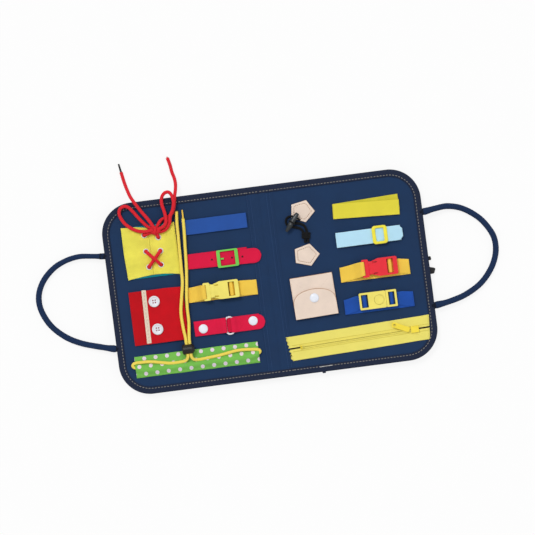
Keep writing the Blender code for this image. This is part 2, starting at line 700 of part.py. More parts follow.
def pad(low, high):
    """One sewn pad on the back of the right leaf, rounded where it meets the floor."""
    left, right = SPINE_WIDTH / 2 + PAD_MARGIN, HALF_WIDTH - PAD_MARGIN
    middle = ((left + right) / 2, (low + high) / 2)
    rings = []
    root = BACK_CLOTH / 2
    for k in range(4):
        angle = math.radians(QUARTER * k / 3)
        inset = PAD_ROUNDING * (1 - math.cos(angle))
        height = PAD_ROUNDING * (1 - math.sin(angle))
        outline = rounded(right - left - 2 * inset, high - low - 2 * inset, PAD_CORNER - inset, middle, 4)
        rings.append([(x, y, height) for x, y in outline])
    top = [(x, y, PAD_DEPTH + root) for x, y, _ in rings[0]]
    return loft([top] + rings)


def build_leaf(side, name):
    """The stiff padded leaf: back cover with pads, board, lining and binding."""
    closure = place(side, "closure")[1]
    sheet = prism(leaf_outline(BINDING_WALL), PAD_DEPTH, BACK_TOP)
    edge = HALF_HEIGHT - PAD_MARGIN
    pads = [pad(closure + CHANNEL_HALF_WIDTH, edge), pad(-edge, closure - CHANNEL_HALF_WIDTH)]
    end = HALF_WIDTH - CLOSURE_TAB_INSETS[0 if side > 0 else 1]
    tab = prism(rectangle(CLOSURE_TAB, STRAP_WIDTH, (end - CLOSURE_TAB / 2, closure)),
                CLOSURE_THICKNESS / 2, PAD_DEPTH + BACK_CLOTH / 2)
    back = combined(sheet, [*pads, tab], "UNION")
    piece(name + "_back_cover", on_side(back, side), "navy")
    board = prism(leaf_outline(BOARD_MARGIN), BOARD_BOTTOM, BOARD_BOTTOM + BOARD_THICKNESS)
    piece(name + "_board", on_side(board, side), "board")
    lining = prism(leaf_outline(BINDING_WALL), LINING_BOTTOM, PAGE_TOP)
    piece(name + "_lining", on_side(lining, side), "navy")
    piece(name + "_binding", on_side(leaf_binding(), side), "dark_navy")


def build_spine():
    """The flexible strip between the leaves, with its bound ends."""
    half_end = SPINE_WIDTH / 2 - BINDING_SETBACK
    panel = prism(rectangle(SPINE_WIDTH - 2 * FIT_GAP, 2 * HALF_HEIGHT - BINDING_WALL), PAD_DEPTH, PAGE_TOP)
    ends = []
    for sign in (-1, 1):
        section = [(sign * (HALF_HEIGHT - u), z) for u, z in binding_section()]
        ends.append(loft([[(x, y, z) for y, z in section] for x in (-half_end, half_end)]))
    piece("spine_panel", combined(panel, ends, "UNION"), "navy", origin=(SPINE_WIDTH / 2, 0.0, PAGE_TOP))


def build_handle(side, name):
    """A soft round handle with ball ends on the line it swings about."""
    radius = HANDLE_DIAMETER / 2
    edge = Vector((side * HALF_WIDTH, 0.0, 0.0))
    line = [point + edge for point in smooth_route(HANDLE_ROUTES[side], HANDLE_SPACING)]
    body = tube(line, radius, HANDLE_SIDES, ball_ends=True)
    axis_x = side * (HALF_WIDTH + FIT_GAP + radius)
    piece(name, body, "navy", origin=(axis_x, 0.0, RIM_MIDDLE), smooth=True)


def side_release_male(length, width, thickness, block, arms_inside):
    """The half with two springy arms and a middle guide. The whole buckle's middle is at the origin."""
    start = -length / 2
    tip = start + block + BUCKLE_NECK + arms_inside
    core = thickness - 2 * BUCKLE_WALL - 2 * FIT_GAP
    low = (thickness - core) / 2
    bar = rectangle(BUCKLE_WALL, width - 2 * BUCKLE_ARM, (start + BUCKLE_WALL * 2, 0.0))
    bar_hole = [bar]
    body = prism(rounded(block, width, BUCKLE_WALL, (start + block / 2, 0.0)), 0.0, thickness, bar_hole)
    inner = width / 2 - BUCKLE_WALL - FIT_GAP
    root = start + block - OVERRUN
    guide = BUCKLE_ARM / 2
    waist = BUCKLE_NECK * BUCKLE_WAIST_SHARE
    prongs = [prism(rectangle(tip - root - BUCKLE_ARM, 2 * guide, ((tip + root - BUCKLE_ARM) / 2, 0.0)),
                    low, low + core)]
    for sign in (-1, 1):
        outline = [
            (root, sign * (inner - BUCKLE_ARM)), (root, sign * inner),
            (start + block + waist, sign * (inner - BUCKLE_WALL)),
            (start + block + BUCKLE_NECK, sign * inner), (tip - BUCKLE_ARM, sign * inner),
            (tip, sign * (inner - BUCKLE_WALL)), (tip, sign * (inner - BUCKLE_ARM)),
            (start + block + BUCKLE_NECK, sign * (inner - BUCKLE_ARM)),
            (start + block + waist, sign * (inner - BUCKLE_ARM - BUCKLE_WALL)),
        ]
        prongs.append(prism(outline, low, low + core))
    return combined(body, prongs, "UNION")


def side_release_female(length, width, thickness, block, cavity):
    """The socket half, with its open mouth and its slot for the webbing."""
    start = -length / 2 + block + BUCKLE_NECK
    end = length / 2
    slot = rectangle(BUCKLE_SLOT, width - 2 * BUCKLE_ARM,
                     (end - BUCKLE_END_BAR - BUCKLE_SLOT / 2, 0.0))
    half = width / 2
    outline = [
        (start, BUCKLE_ARM - half), (start + BUCKLE_NECK, -half), (end - BUCKLE_WALL, -half),
        (end, BUCKLE_WALL - half), (end, half - BUCKLE_WALL), (end - BUCKLE_WALL, half),
        (start + BUCKLE_NECK, half), (start, half - BUCKLE_ARM),
    ]
    shell = prism(outline, 0.0, thickness, [slot])
    mouth = prism(rectangle(cavity + OVERRUN, width - 2 * BUCKLE_WALL,
                            (start + (cavity - OVERRUN) / 2, 0.0)),
                  BUCKLE_WALL, thickness - BUCKLE_WALL)
    return combined(shell, [mouth], "DIFFERENCE")


def double_webbing(length, width=STRAP_WIDTH):
    """Two layers of webbing stitched down together."""
    return prism(rectangle(length, width), FIRST_LAYER, FIRST_LAYER + 2 * STRAP_THICKNESS + FIT_GAP)


def page_buckle(side, name, place_name, buckle_offset, webbing_colour, plastic_colour, lift):
    """A side release buckle that lies on its stitched webbing."""
    x, y = place(side, place_name)
    piece(name + "_webbing", moved(double_webbing(BUCKLE_WEBBING_LENGTH), x, y), webbing_colour)
    base = FIRST_LAYER + 2 * STRAP_THICKNESS + 2 * FIT_GAP
    bx, by = x + buckle_offset, y + lift
    inside = BUCKLE_LENGTH / 2 - BUCKLE_BLOCK
    cavity = inside + FIT_GAP
    size = (BUCKLE_LENGTH, BUCKLE_WIDTH, BUCKLE_THICKNESS, BUCKLE_BLOCK)
    male = side_release_male(*size, inside - OVERRUN)
    female = side_release_female(*size, cavity)
    piece(name + "_male", moved(male, bx, by, base), plastic_colour, PLASTIC_ROUGHNESS)
    spot = (bx, by, base)
    piece(name + "_female", moved(female, *spot), plastic_colour, PLASTIC_ROUGHNESS, origin=spot)


def build_closure():
    """The black buckle on the back that holds the folded book shut: one half under each leaf."""
    inside = CLOSURE_LENGTH / 2 - CLOSURE_BLOCK
    size = (CLOSURE_LENGTH, CLOSURE_WIDTH, CLOSURE_THICKNESS, CLOSURE_BLOCK)
    y = place(1, "closure")[1]
    male = side_release_male(*size, inside)
    tip = CLOSURE_BLOCK + BUCKLE_NECK + inside - CLOSURE_LENGTH / 2
    x = HALF_WIDTH + CLOSURE_PROUD - tip
    rest = (x, y, FIT_GAP)
    piece("closure_male", moved(male, *rest, CLOSURE_TURN), "black", PLASTIC_ROUGHNESS, rest)
    female = side_release_female(*size, inside + FIT_GAP)
    mouth = CLOSURE_LENGTH / 2 - CLOSURE_BLOCK - BUCKLE_NECK
    x = BINDING_WIDTH + FIT_GAP + mouth - HALF_WIDTH
    piece("closure_female", moved(female, x, y, FIT_GAP), "black", PLASTIC_ROUGHNESS)


def build_lacing():
    """Felt backing, two lemon halves with their eyelets, and the tied lace."""
    x, y = place(-1, "lacing")
    half_w, half_h = LACING_WIDTH / 2, LACING_HEIGHT / 2
    backing = prism(rectangle(LACING_WIDTH - 2 * LACING_SPLIT, LACING_HEIGHT - 2 * LACING_SPLIT),
                    FIRST_LAYER, FIRST_LAYER + FELT)
    piece("lacing_backing", moved(backing, x, y), "teal")
    low = FIRST_LAYER + FELT + FIT_GAP
    top = low + FELT
    foot = low + FIT_GAP
    profile = [
        (EYELET_BORE, foot), (EYELET_BORE, top + EYELET_LIP_SHARE * EYELET_LIP),
        (EYELET_BARREL, top + EYELET_LIP),
        (EYELET_RADIUS, top + EYELET_LIP / 2), (EYELET_RADIUS, top - FELT / 4),
        (EYELET_BARREL, top - FELT / 4),
        (EYELET_BARREL, foot),
    ]
    places = [(u * LACING_WIDTH, v * LACING_HEIGHT) for u, v in EYELET_PLACES_SHARE]
    seat = (EYELET_BORE + EYELET_BARREL) / 2
    for sign, name in ((-1, "lacing_left_panel"), (1, "lacing_right_panel")):
        edge = sign * LACING_SPLIT / 2
        outer = sign * half_w
        short = half_h - LACING_DIP
        outline = [(edge, -short), (outer, -half_h), (outer, half_h), (edge, short)]
        spots = [spot for spot in places if spot[0] * sign > 0]
        holes = [circle(seat, spot) for spot in spots]
        rings = [moved(turned(profile, closed=True), *spot) for spot in spots]
        panel = combined(prism(outline, low, top, holes), rings, "UNION")
        piece(name, moved(panel, x, y), "lemon")
    radius = LACE_DIAMETER / 2
    strands = [tube(smooth_route(route, CROSS_SPACING), radius, CORD_SIDES) for route in LACE_CROSS_ROUTES]
    piece("lace_crossing", combined(strands[0], strands[1:], "UNION"), "lace_red", smooth=True)
    strands = [tube(smooth_route(route, LACE_SPACING), radius, CORD_SIDES) for route in LACE_BOW_ROUTES]
    strands += [tube(smooth_route(route, CROSS_SPACING), radius, CORD_SIDES) for route in LACE_TOP_ROUTES]
    end, before = (Vector(point) * MM for point in LACE_BOW_ROUTES[2][:-3:-1])
    aim = (end - before).normalized()
    strands.append(tube([end - aim * radius, end + aim * AGLET_LENGTH], radius * AGLET_SHARE, CORD_SIDES))
    knot = loft([ring_about(Vector(KNOT_MIDDLE) * MM + Vector((along * KNOT_LENGTH, 0.0, 0.0)),
                            Vector((1.0, 0.0, 0.0)), around * KNOT_RADIUS, ROUND_SIDES)
                 for along, around in KNOT_SHARES])
    piece("lace_bow", combined(knot, strands, "UNION"), "lace_red", smooth=True)


def build_drawstring():
    """The sewn tunnel, the cord through it and the cord lock."""
    x, y = place(-1, "tunnel")
    half_l, half_w = TUNNEL_LENGTH / 2, TUNNEL_WIDTH / 2
    lane = TUNNEL_LANE_SHARE * TUNNEL_WIDTH
    bore = DRAWSTRING_DIAMETER / 2 + TUNNEL_CLEARANCE
    shell = bore + FELT
    roof = 2 * bore
    low = FIRST_LAYER
    crown, edge = bore * TUNNEL_CROWN_SHARE, low + roof * TUNNEL_SHOULDER_SHARES[0]
    inner = [(lane - bore, low), (lane - bore, edge), (lane - crown, low + roof),
             (lane + crown, low + roof), (lane + bore, edge), (lane + bore, low)]
    crown, edge = shell * TUNNEL_CROWN_SHARE, low + roof * TUNNEL_SHOULDER_SHARES[1]
    outer = [(half_w, low), (half_w, low + FELT), (lane + shell, low + FELT), (lane + shell, edge),
             (lane + crown, low + roof + FELT), (lane - crown, low + roof + FELT),
             (lane - shell, edge), (lane - shell, low + FELT), (-half_w, low + FELT), (-half_w, low)]
    section = inner + outer
    tunnel = loft([[(end, v, w) for v, w in section] for end in (-half_l, half_l)])
    piece("drawstring_tunnel", moved(tunnel, x, y), "green")
    line = smooth_route(DRAWSTRING_ROUTE, DRAWSTRING_SPACING)
    cord_object("drawstring", line, DRAWSTRING_DIAMETER, "cord_yellow")
    build_cord_lock()


def build_cord_lock():
    """The round cord lock lies across the two cords, its plunger towards the spine."""
    x, y = place(-1, "lock")
    radius = LOCK_DIAMETER / 2
    centre = FIRST_LAYER + FELT + FIT_GAP + radius
    lanes = 2 * DRAWSTRING_DIAMETER + 2 * LOCK_CLEARANCE
    height = DRAWSTRING_DIAMETER + 2 * LOCK_CLEARANCE
    bore = radius - LOCK_WALL
    slot_start, slot_end = LOCK_LANE_SHIFT - lanes / 2, LOCK_LANE_SHIFT + lanes / 2
    foot = slot_start - PLUNGER_WALL
    floor = foot - PLUNGER_TRAVEL - FIT_GAP
    start, end = floor - LOCK_END_WALL, slot_end + LOCK_END_WALL
    sides = 2 * FOLD_STEPS
    barrel = laid(turned([(0.0, start), (bore, start), (radius, floor), (radius, slot_end),
                          (radius * LOCK_TAPER_SHARES[0], end), (0.0, end)], sides))
    well = laid(turned([(0.0, floor), (bore, floor), (bore, end + LOCK_WALL), (0.0, end + LOCK_WALL)], sides))
    slot = prism(rectangle(lanes, 2 * LOCK_DIAMETER, (LOCK_LANE_SHIFT, 0.0)), -height / 2, height / 2)
    body = combined(barrel, [well, slot], "DIFFERENCE")
    spot = (x, y, centre)
    piece("cord_lock_body", moved(body, *spot), "black", PLASTIC_ROUGHNESS, spot, smooth=True)
    thin = bore - FIT_GAP
    head = end + PLUNGER_PROUD
    profile = [(0.0, foot), (thin, foot), (thin, end), (thin * LOCK_TAPER_SHARES[1], head), (0.0, head)]
    core = laid(turned(profile, sides))
    gate_middle = (LOCK_LANE_SHIFT + PLUNGER_TRAVEL / 2, 0.0)
    gate = prism(rectangle(lanes + PLUNGER_TRAVEL, 2 * LOCK_DIAMETER, gate_middle), -height / 2, height / 2)
    plunger = combined(core, [gate], "DIFFERENCE")
    piece("cord_lock_plunger", moved(plunger, *spot), "black", PLASTIC_ROUGHNESS, spot, smooth=True)


def build_blue_strip():
    """A blue hook and loop strip, its upper layer free from the right end."""
    x, y = place(-1, "blue_strip")
    low, high = FIRST_LAYER, FIRST_LAYER + STRAP_THICKNESS
    upper = high + FIT_GAP
    base = prism(rectangle(BLUE_STRIP_LENGTH, STRAP_WIDTH), low, high)
    piece("blue_strip_base", moved(base, x, y), "blue")
    flap = prism(rectangle(BLUE_STRIP_LENGTH, STRAP_WIDTH), upper, upper + STRAP_THICKNESS)
    hinge = (x - BLUE_STRIP_LENGTH / 2, y, upper)
    piece("blue_strip_flap", moved(flap, x, y), "blue", origin=hinge)


def build_yellow_strip():
    """A yellow hook and loop strip folded at its left end."""
    x, y = place(1, "yellow_strip")
    low, high = FIRST_LAYER, FIRST_LAYER + STRAP_THICKNESS
    upper = high + FIT_GAP
    start = x - YELLOW_STRIP_LENGTH / 2
    pivot_y = y - YELLOW_STRIP_LENGTH / 2 * math.sin(math.radians(STRIP_BASE_TURN))
    strip = rectangle(YELLOW_STRIP_LENGTH, STRAP_WIDTH, (YELLOW_STRIP_LENGTH / 2, 0.0))
    base = moved(prism(strip, low, high), start, pivot_y, 0.0, STRIP_BASE_TURN)
    piece("yellow_strip_base", base, "yellow_strip")
    flap = moved(prism(strip, upper, upper + STRAP_THICKNESS), start, pivot_y, 0.0, STRIP_FLAP_TURN)
    piece("yellow_strip_flap", flap, "yellow_strip", origin=(start, pivot_y, upper))


def build_belt():
    """The belt with its frame buckle, prong and holes."""
    x, y = place(-1, "belt")
    start = -BELT_TAIL_LENGTH / 2
    low, high = FIRST_LAYER, FIRST_LAYER + STRAP_THICKNESS
    base = prism(rectangle(BELT_LENGTH, STRAP_WIDTH, (BELT_LENGTH / 2, 0.0)), low, high)
    upper = high + FIT_GAP
    holes = [circle(BELT_HOLE_RADIUS, (share * BELT_TAIL_LENGTH, 0.0), 8) for share in BELT_HOLE_SHARES]
    tail = prism(tongue(0.0, BELT_TAIL_LENGTH, STRAP_WIDTH), upper, upper + STRAP_THICKNESS, holes)
    seat = rectangle(STRAP_THICKNESS, STRAP_WIDTH * FOLD_WIDTH_SHARE, (STRAP_THICKNESS, 0.0))
    fold = prism(seat, low + FIT_GAP, high + 2 * FIT_GAP)
    belt = combined(base, [moved(tail, turn=TAIL_TURN), fold], "UNION")
    piece("red_belt", moved(belt, x + start, y), "belt_red")
    along = FRAME_PLACE_SHARE * BELT_TAIL_LENGTH
    frame_x = x + start + along
    frame_y = y + along * math.sin(math.radians(TAIL_TURN))
    bottom = upper + STRAP_THICKNESS + FIT_GAP
    window = rounded(FRAME_LENGTH - 2 * FRAME_BAR, FRAME_WIDTH - 2 * FRAME_RAIL, FRAME_CORNER / 2)
    outline = rounded(FRAME_LENGTH, FRAME_WIDTH, FRAME_CORNER)
    frame = prism(outline, bottom, bottom + FRAME_THICKNESS, [window])
    piece("belt_frame", moved(frame, frame_x, frame_y), "buckle_green", PLASTIC_ROUGHNESS)
    radius = PRONG_RADIUS
    pivot_x = frame_x - FRAME_LENGTH / 2 + FRAME_BAR + FIT_GAP + radius
    pivot_z = bottom + FRAME_THICKNESS / 2 + FIT_GAP
    tip = PRONG_LENGTH
    crook = tip - PRONG_CROOK_SHARE * radius
    drop = pivot_z - bottom + FIT_GAP + STRAP_THICKNESS / 2
    outline = arc((0.0, 0.0), radius, QUARTER, FULL_TURN - QUARTER, FOLD_STEPS)
    outline += [(crook, -radius), (crook, -drop), (tip - radius, -drop),
                (tip, radius / 2), (tip - radius, radius)]
    prong = side_prism([(u, v + pivot_z) for u, v in outline], PRONG_WIDTH)
    origin = (pivot_x, frame_y, pivot_z)
    piece("belt_prong", moved(prong, pivot_x, frame_y), "buckle_green", PLASTIC_ROUGHNESS, origin)


def snap_cap(x, y, low):
    """A domed snap fastener cap."""
    profile = [(around * SNAP_RADIUS, up * SNAP_HEIGHT) for around, up in SNAP_SHAPE]
    return moved(turned(profile), x, y, low)


def build_snap_belt():
    """Two snapped straps that fold back around an oval ring."""
    x, y = place(-1, "snap_belt")
    low, high = FIRST_LAYER, FIRST_LAYER + STRAP_THICKNESS
    base = prism(rectangle(SNAP_BELT_LENGTH, STRAP_WIDTH), low, high)
    piece("snap_belt_base", moved(base, x, y), "belt_red")
    upper = high + FIT_GAP
    wire = RING_WIRE / 2
    width = RING_WIDTH - RING_WIRE
    middle = (x + RING_PLACE_SHARE * SNAP_BELT_LENGTH, y - RING_DROP_SHARE * RING_LENGTH)
    outline = rounded(width, RING_LENGTH - RING_WIRE, width * RING_CORNER_SHARE, middle, 4)
    points = [(u, v, upper + wire) for u, v in outline]
    cord_object("snap_belt_ring", points, RING_WIRE, "white", cyclic=True)
    over = upper + RING_WIRE + FIT_GAP
    thick = STRAP_THICKNESS
    fold = SNAP_SPLIT / 2
    flat = fold + RING_WIDTH / 3
    foot = flat + RING_WIDTH / 2
    fold_x = x + SNAP_FOLD_SHARE * SNAP_BELT_LENGTH
    for sign, name, length, drop, cap_shares in (
        (-1, "snap_flap_left", SNAP_LEFT_LENGTH, 0.0, SNAP_CAP_SHARES[0]),
        (1, "snap_flap_right", SNAP_RIGHT_LENGTH, SNAP_DROP_SHARE, SNAP_CAP_SHARES[1]),
    ):
        outline = [(fold, over), (fold, over + thick), (flat + thick / 2, over + thick),
                   (foot + thick / 2, upper + thick), (length, upper + thick), (length, upper), (foot, upper),
                   (flat, over)]
        strap = side_prism([(sign * u, w) for u, w in outline], STRAP_WIDTH)
        if sign > 0:
            keep = prism(tongue(0.0, length, STRAP_WIDTH), 0.0, 2 * over)
            strap = combined(strap, [keep], "INTERSECT")
        strap_y = y - drop * STRAP_WIDTH
        hinge = (fold_x + sign * fold, strap_y, over + thick / 2)
        cap = snap_cap(cap_shares[0] * SNAP_LEFT_LENGTH, cap_shares[1] * STRAP_WIDTH, upper + thick / 2)
        strap = combined(strap, [cap], "UNION")
        piece(name, moved(strap, fold_x, strap_y), "belt_red", origin=hinge)


def build_button_panel():
    """Two red flaps that overlap like a shirt front over a felt picture."""
    x, y = place(-1, "panel")
    low = FIRST_LAYER
    felt = prism(rectangle(PANEL_FELT_WIDTH, PANEL_FELT_HEIGHT), low, low + FELT)
    piece("panel_felt", moved(felt, x, y), "bright_yellow")
    inner_low = low + FELT + FIT_GAP
    left = x - PANEL_WIDTH / 2
    right = x + PANEL_WIDTH / 2
    sheet = rectangle(INNER_FLAP_WIDTH, PANEL_HEIGHT, (INNER_FLAP_WIDTH / 2, 0.0))
    inner = prism(sheet, inner_low, inner_low + FELT)
    inner_hinge = (left, y, inner_low + FELT / 2)
    piece("panel_inner_flap", moved(inner, left, y), "panel_red", origin=inner_hinge)
    outer_low = inner_low + FELT + FIT_GAP
    button_x = left + BUTTON_PLACE_SHARE * PANEL_WIDTH
    button_ys = [y + share * PANEL_HEIGHT for share in BUTTON_ROW_SHARES]
    hole_radius = BUTTON_RADIUS + BUTTON_CLEARANCE
    holes = [circle(hole_radius, (button_x - right - FIT_GAP, button_y - y), 2 * FOLD_STEPS)
             for button_y in button_ys]
    outer = prism(rectangle(OUTER_FLAP_WIDTH, PANEL_HEIGHT, (-OUTER_FLAP_WIDTH / 2, 0.0)),
                  outer_low, outer_low + FELT, holes)
    outer_hinge = (right, y, outer_low + FELT / 2)
    piece("panel_outer_flap", moved(outer, right, y), "panel_red", origin=outer_hinge)
    rest = outer_low + FELT + FIT_GAP
    profile = [(0.0, outer_low), (BUTTON_SHANK, outer_low), (BUTTON_SHANK, rest)]
    profile += [(around * BUTTON_RADIUS, rest + up * BUTTON_THICKNESS) for around, up in BUTTON_SHAPE]
    for name, button_y in zip(("upper_button", "lower_button"), button_ys):
        button = moved(turned(profile), button_x, button_y)
        piece(name, button, "white", PLASTIC_ROUGHNESS, inner_hinge, smooth=True)


def build_toggle():
    """Two leather patches, the cord loop and tether, and the horn toggle."""
    low = FIRST_LAYER
    for name, turn in zip(("upper_patch", "lower_patch"), PATCH_TURNS):
        x, y = place(1, name)
        patch = prism(circle(PATCH_RADIUS, sides=5), low, low + LEATHER)
        piece(name, moved(patch, x, y, 0.0, turn), "leather")
    cord_object("toggle_loop", smooth_route(TOGGLE_LOOP_ROUTE, LOOP_SPACING), TOGGLE_CORD, "black")
    x, y = place(1, "toggle")
    half = TOGGLE_LENGTH / 2
    profile = [(around * TOGGLE_RADIUS, along * half) for around, along in TOGGLE_SHAPE]
    horn = laid(turned(profile))
    height = low + TOGGLE_CORD + 2 * FIT_GAP + TOGGLE_RADIUS
    spot = (x, y, height)
    piece("toggle", moved(horn, *spot, TOGGLE_TURN), "horn", PLASTIC_ROUGHNESS, spot, smooth=True)


def build_slide_strap():
    """A light blue strap sewn at its fold, with a sliding three bar buckle on its upper layer."""
    x, y = place(1, "slide_strap")
    half = SLIDE_STRAP_LENGTH / 2
    thick = STRAP_THICKNESS
    low = FIRST_LAYER
    clear = low + 2 * thick + 3 * FIT_GAP
    side = [(-half, low), (half, low), (half, low + thick), (2 * thick - half, low + thick),
            (2 * thick - half, clear), (half + thick, clear), (half + thick, clear + thick),
            (-half, clear + thick)]
    strap = side_prism(side, STRAP_WIDTH)
    keep = prism([(-half - thick, -STRAP_WIDTH), (half - thick, -STRAP_WIDTH),
                  (half - thick, -STRAP_WIDTH / 2),
                  (half + 2 * thick, -STRAP_WIDTH / 4), (half + 2 * thick, STRAP_WIDTH / 4),
                  (half - thick, STRAP_WIDTH / 2), (half - thick, STRAP_WIDTH), (-half - thick, STRAP_WIDTH)],
                 0.0, 2 * clear)
    strap = combined(strap, [keep], "INTERSECT")
    piece("light_blue_strap", moved(strap, x, y), "light_blue")
    slide_x = x + SLIDER_PLACE_SHARE * SLIDE_STRAP_LENGTH
    over = clear + thick + FIT_GAP
    top = over + SLIDER_THICKNESS
    under = low + thick + FIT_GAP
    rail = SLIDER_RAIL
    window = rectangle(SLIDER_LENGTH - 2 * SLIDER_BAR, SLIDER_WIDTH - 2 * rail)
    frame = prism(rounded(SLIDER_LENGTH, SLIDER_WIDTH, SLIDER_BAR), over, top, [window])
    parts = []
    for sign in (-1, 1):
        spot = (0.0, sign * (SLIDER_WIDTH - rail) / 2)
        parts.append(prism(rectangle(SLIDER_LENGTH - 2 * SLIDER_BAR, rail, spot), under, (over + top) / 2))
    parts.append(prism(rectangle(SLIDER_CENTRE_BAR, SLIDER_WIDTH - rail), under, under + thick))
    frame = combined(frame, parts, "UNION")
    origin = (slide_x, y, over)
    piece("strap_slider", moved(frame, slide_x, y), "bright_yellow", PLASTIC_ROUGHNESS, origin)


def build_centre_buckle():
    """The centre release buckle: a housing with a round button, and a tongue that slides out."""
    x, y = place(1, "centre_buckle")
    piece("blue_buckle_webbing", moved(double_webbing(BUCKLE_WEBBING_LENGTH), x, y), "blue")
    base = FIRST_LAYER + 2 * STRAP_THICKNESS + 2 * FIT_GAP
    x, y = x + CENTRE_SHIFT, y + CENTRE_LIFT_SHARE * CENTRE_WIDTH
    thick = BUCKLE_THICKNESS
    start = -CENTRE_LENGTH / 2
    split = start + CENTRE_HOUSING
    wall = BUCKLE_WALL
    slot_middle = start + CENTRE_END_BAR + CENTRE_SLOT / 2
    slot = rectangle(CENTRE_SLOT, CENTRE_WIDTH - 2 * CENTRE_END_BAR, (slot_middle, 0.0))
    outline = rounded(CENTRE_HOUSING, CENTRE_WIDTH, wall, (start + CENTRE_HOUSING / 2, 0.0))
    shell = prism(outline, 0.0, thick, [slot])
    back = start + CENTRE_END_BAR + CENTRE_SLOT + 2 * wall
    depth = split - back
    cavity = prism(rectangle(depth + OVERRUN, CENTRE_WIDTH - 4 * wall, ((back + split + OVERRUN) / 2, 0.0)),
                   wall, thick - wall)
    button_x = back + CENTRE_BUTTON_SHARE * depth
    opening = prism(circle(CENTRE_BUTTON_RADIUS + FIT_GAP, (button_x, 0.0), 2 * FOLD_STEPS),
                    thick - wall - OVERRUN, thick + OVERRUN)
    housing = combined(shell, [cavity, opening], "DIFFERENCE")
    piece("centre_buckle_housing", moved(housing, x, y, base), "buckle_yellow", PLASTIC_ROUGHNESS)
    radius = CENTRE_BUTTON_RADIUS
    bottom = thick - wall
    profile = [(0.0, bottom), (radius, bottom), (radius, thick + BUTTON_PROUD / 2),
               (radius * 0.9, thick + BUTTON_PROUD), (0.0, thick + BUTTON_PROUD)]
    button = moved(turned(profile, sides=2 * FOLD_STEPS), x + button_x, y, base)
    spot = (x + button_x, y, base + thick)
    piece("centre_buckle_button", button, "buckle_yellow", PLASTIC_ROUGHNESS, spot, smooth=True)
    male_length = CENTRE_LENGTH - CENTRE_HOUSING - FIT_GAP
    middle = split + FIT_GAP + male_length / 2
    hole = rectangle(male_length - CENTRE_END_BAR - 2 * wall, CENTRE_WIDTH - 2 * CENTRE_END_BAR,
                     (middle - (CENTRE_END_BAR - 2 * wall) / 2, 0.0))
    loop = prism(rounded(male_length, CENTRE_WIDTH, wall / 2, (middle, 0.0)), 0.0, thick, [hole])
    tongue_end = split + wall
    tongue_start = back + 2 * FIT_GAP
    low = wall + FIT_GAP
    blade = prism(rectangle(tongue_end - tongue_start, CENTRE_WIDTH - 4 * wall - 2 * FIT_GAP,
                            ((tongue_start + tongue_end) / 2, 0.0)), low, low + CENTRE_TONGUE)
    male = combined(loop, [blade], "UNION")
    origin = (x + middle, y, base)
    piece("centre_buckle_male", moved(male, x, y, base), "buckle_yellow", PLASTIC_ROUGHNESS, origin)


def build_pouch():
    """A flat leather pouch with a felt picture, an inner flap and a snapped outer flap."""
    x, y = place(1, "pouch")
    low = FIRST_LAYER
    turn = POUCH_TURN
    pocket = prism(rectangle(POUCH_WIDTH, POUCH_HEIGHT), low, low + LEATHER)
    felt_low = low + LEATHER + FIT_GAP
    margin = 2 * POUCH_FELT_MARGIN
    felt = prism(rectangle(POUCH_WIDTH - margin, POUCH_HEIGHT - margin), felt_low, felt_low + FELT)
    piece("pouch_felt", moved(felt, x, y, 0.0, turn), "lace_red")
    inner_low = felt_low + FELT + FIT_GAP
    inner = prism(rectangle(POUCH_WIDTH, POUCH_HEIGHT), inner_low, inner_low + LEATHER)
    fold_middle = (0.0, (POUCH_HEIGHT - 2 * LEATHER + FIT_GAP) / 2)
    strip = rectangle(POUCH_WIDTH - 2 * FIT_GAP, LEATHER, fold_middle)
    fold = prism(strip, low + FIT_GAP, inner_low + FIT_GAP)
    pocket = combined(pocket, [inner, fold], "UNION")
    piece("pouch_pocket", moved(pocket, x, y, 0.0, turn), "leather")
    outer_low = inner_low + LEATHER + FIT_GAP
    half_w, foot = POUCH_WIDTH / 2, -POUCH_HEIGHT / 2
    crown = foot + POUCH_FLAP_HEIGHT
    shoulder = POUCH_FLAP_HEIGHT / 2
    steps = 2 * FOLD_STEPS
    curve = []
    for k in range(steps + 1):
        angle = math.pi * k / steps
        rise = shoulder * math.sin(angle) ** POUCH_CROWN_POWER
        curve.append((half_w * math.cos(angle), crown - shoulder + rise))
    outer = prism([(-half_w, foot), (half_w, foot)] + curve, outer_low, outer_low + LEATHER)
    angle = math.radians(turn)
    hinge = (x - foot * math.sin(angle), y + foot * math.cos(angle), outer_low + LEATHER / 2)
    cap = snap_cap(0.0, foot + POUCH_FLAP_HEIGHT * POUCH_CAP_SHARE, outer_low + LEATHER / 2)
    outer = combined(outer, [cap], "UNION")
    piece("pouch_outer_flap", moved(outer, x, y, 0.0, turn), "leather", origin=hinge)


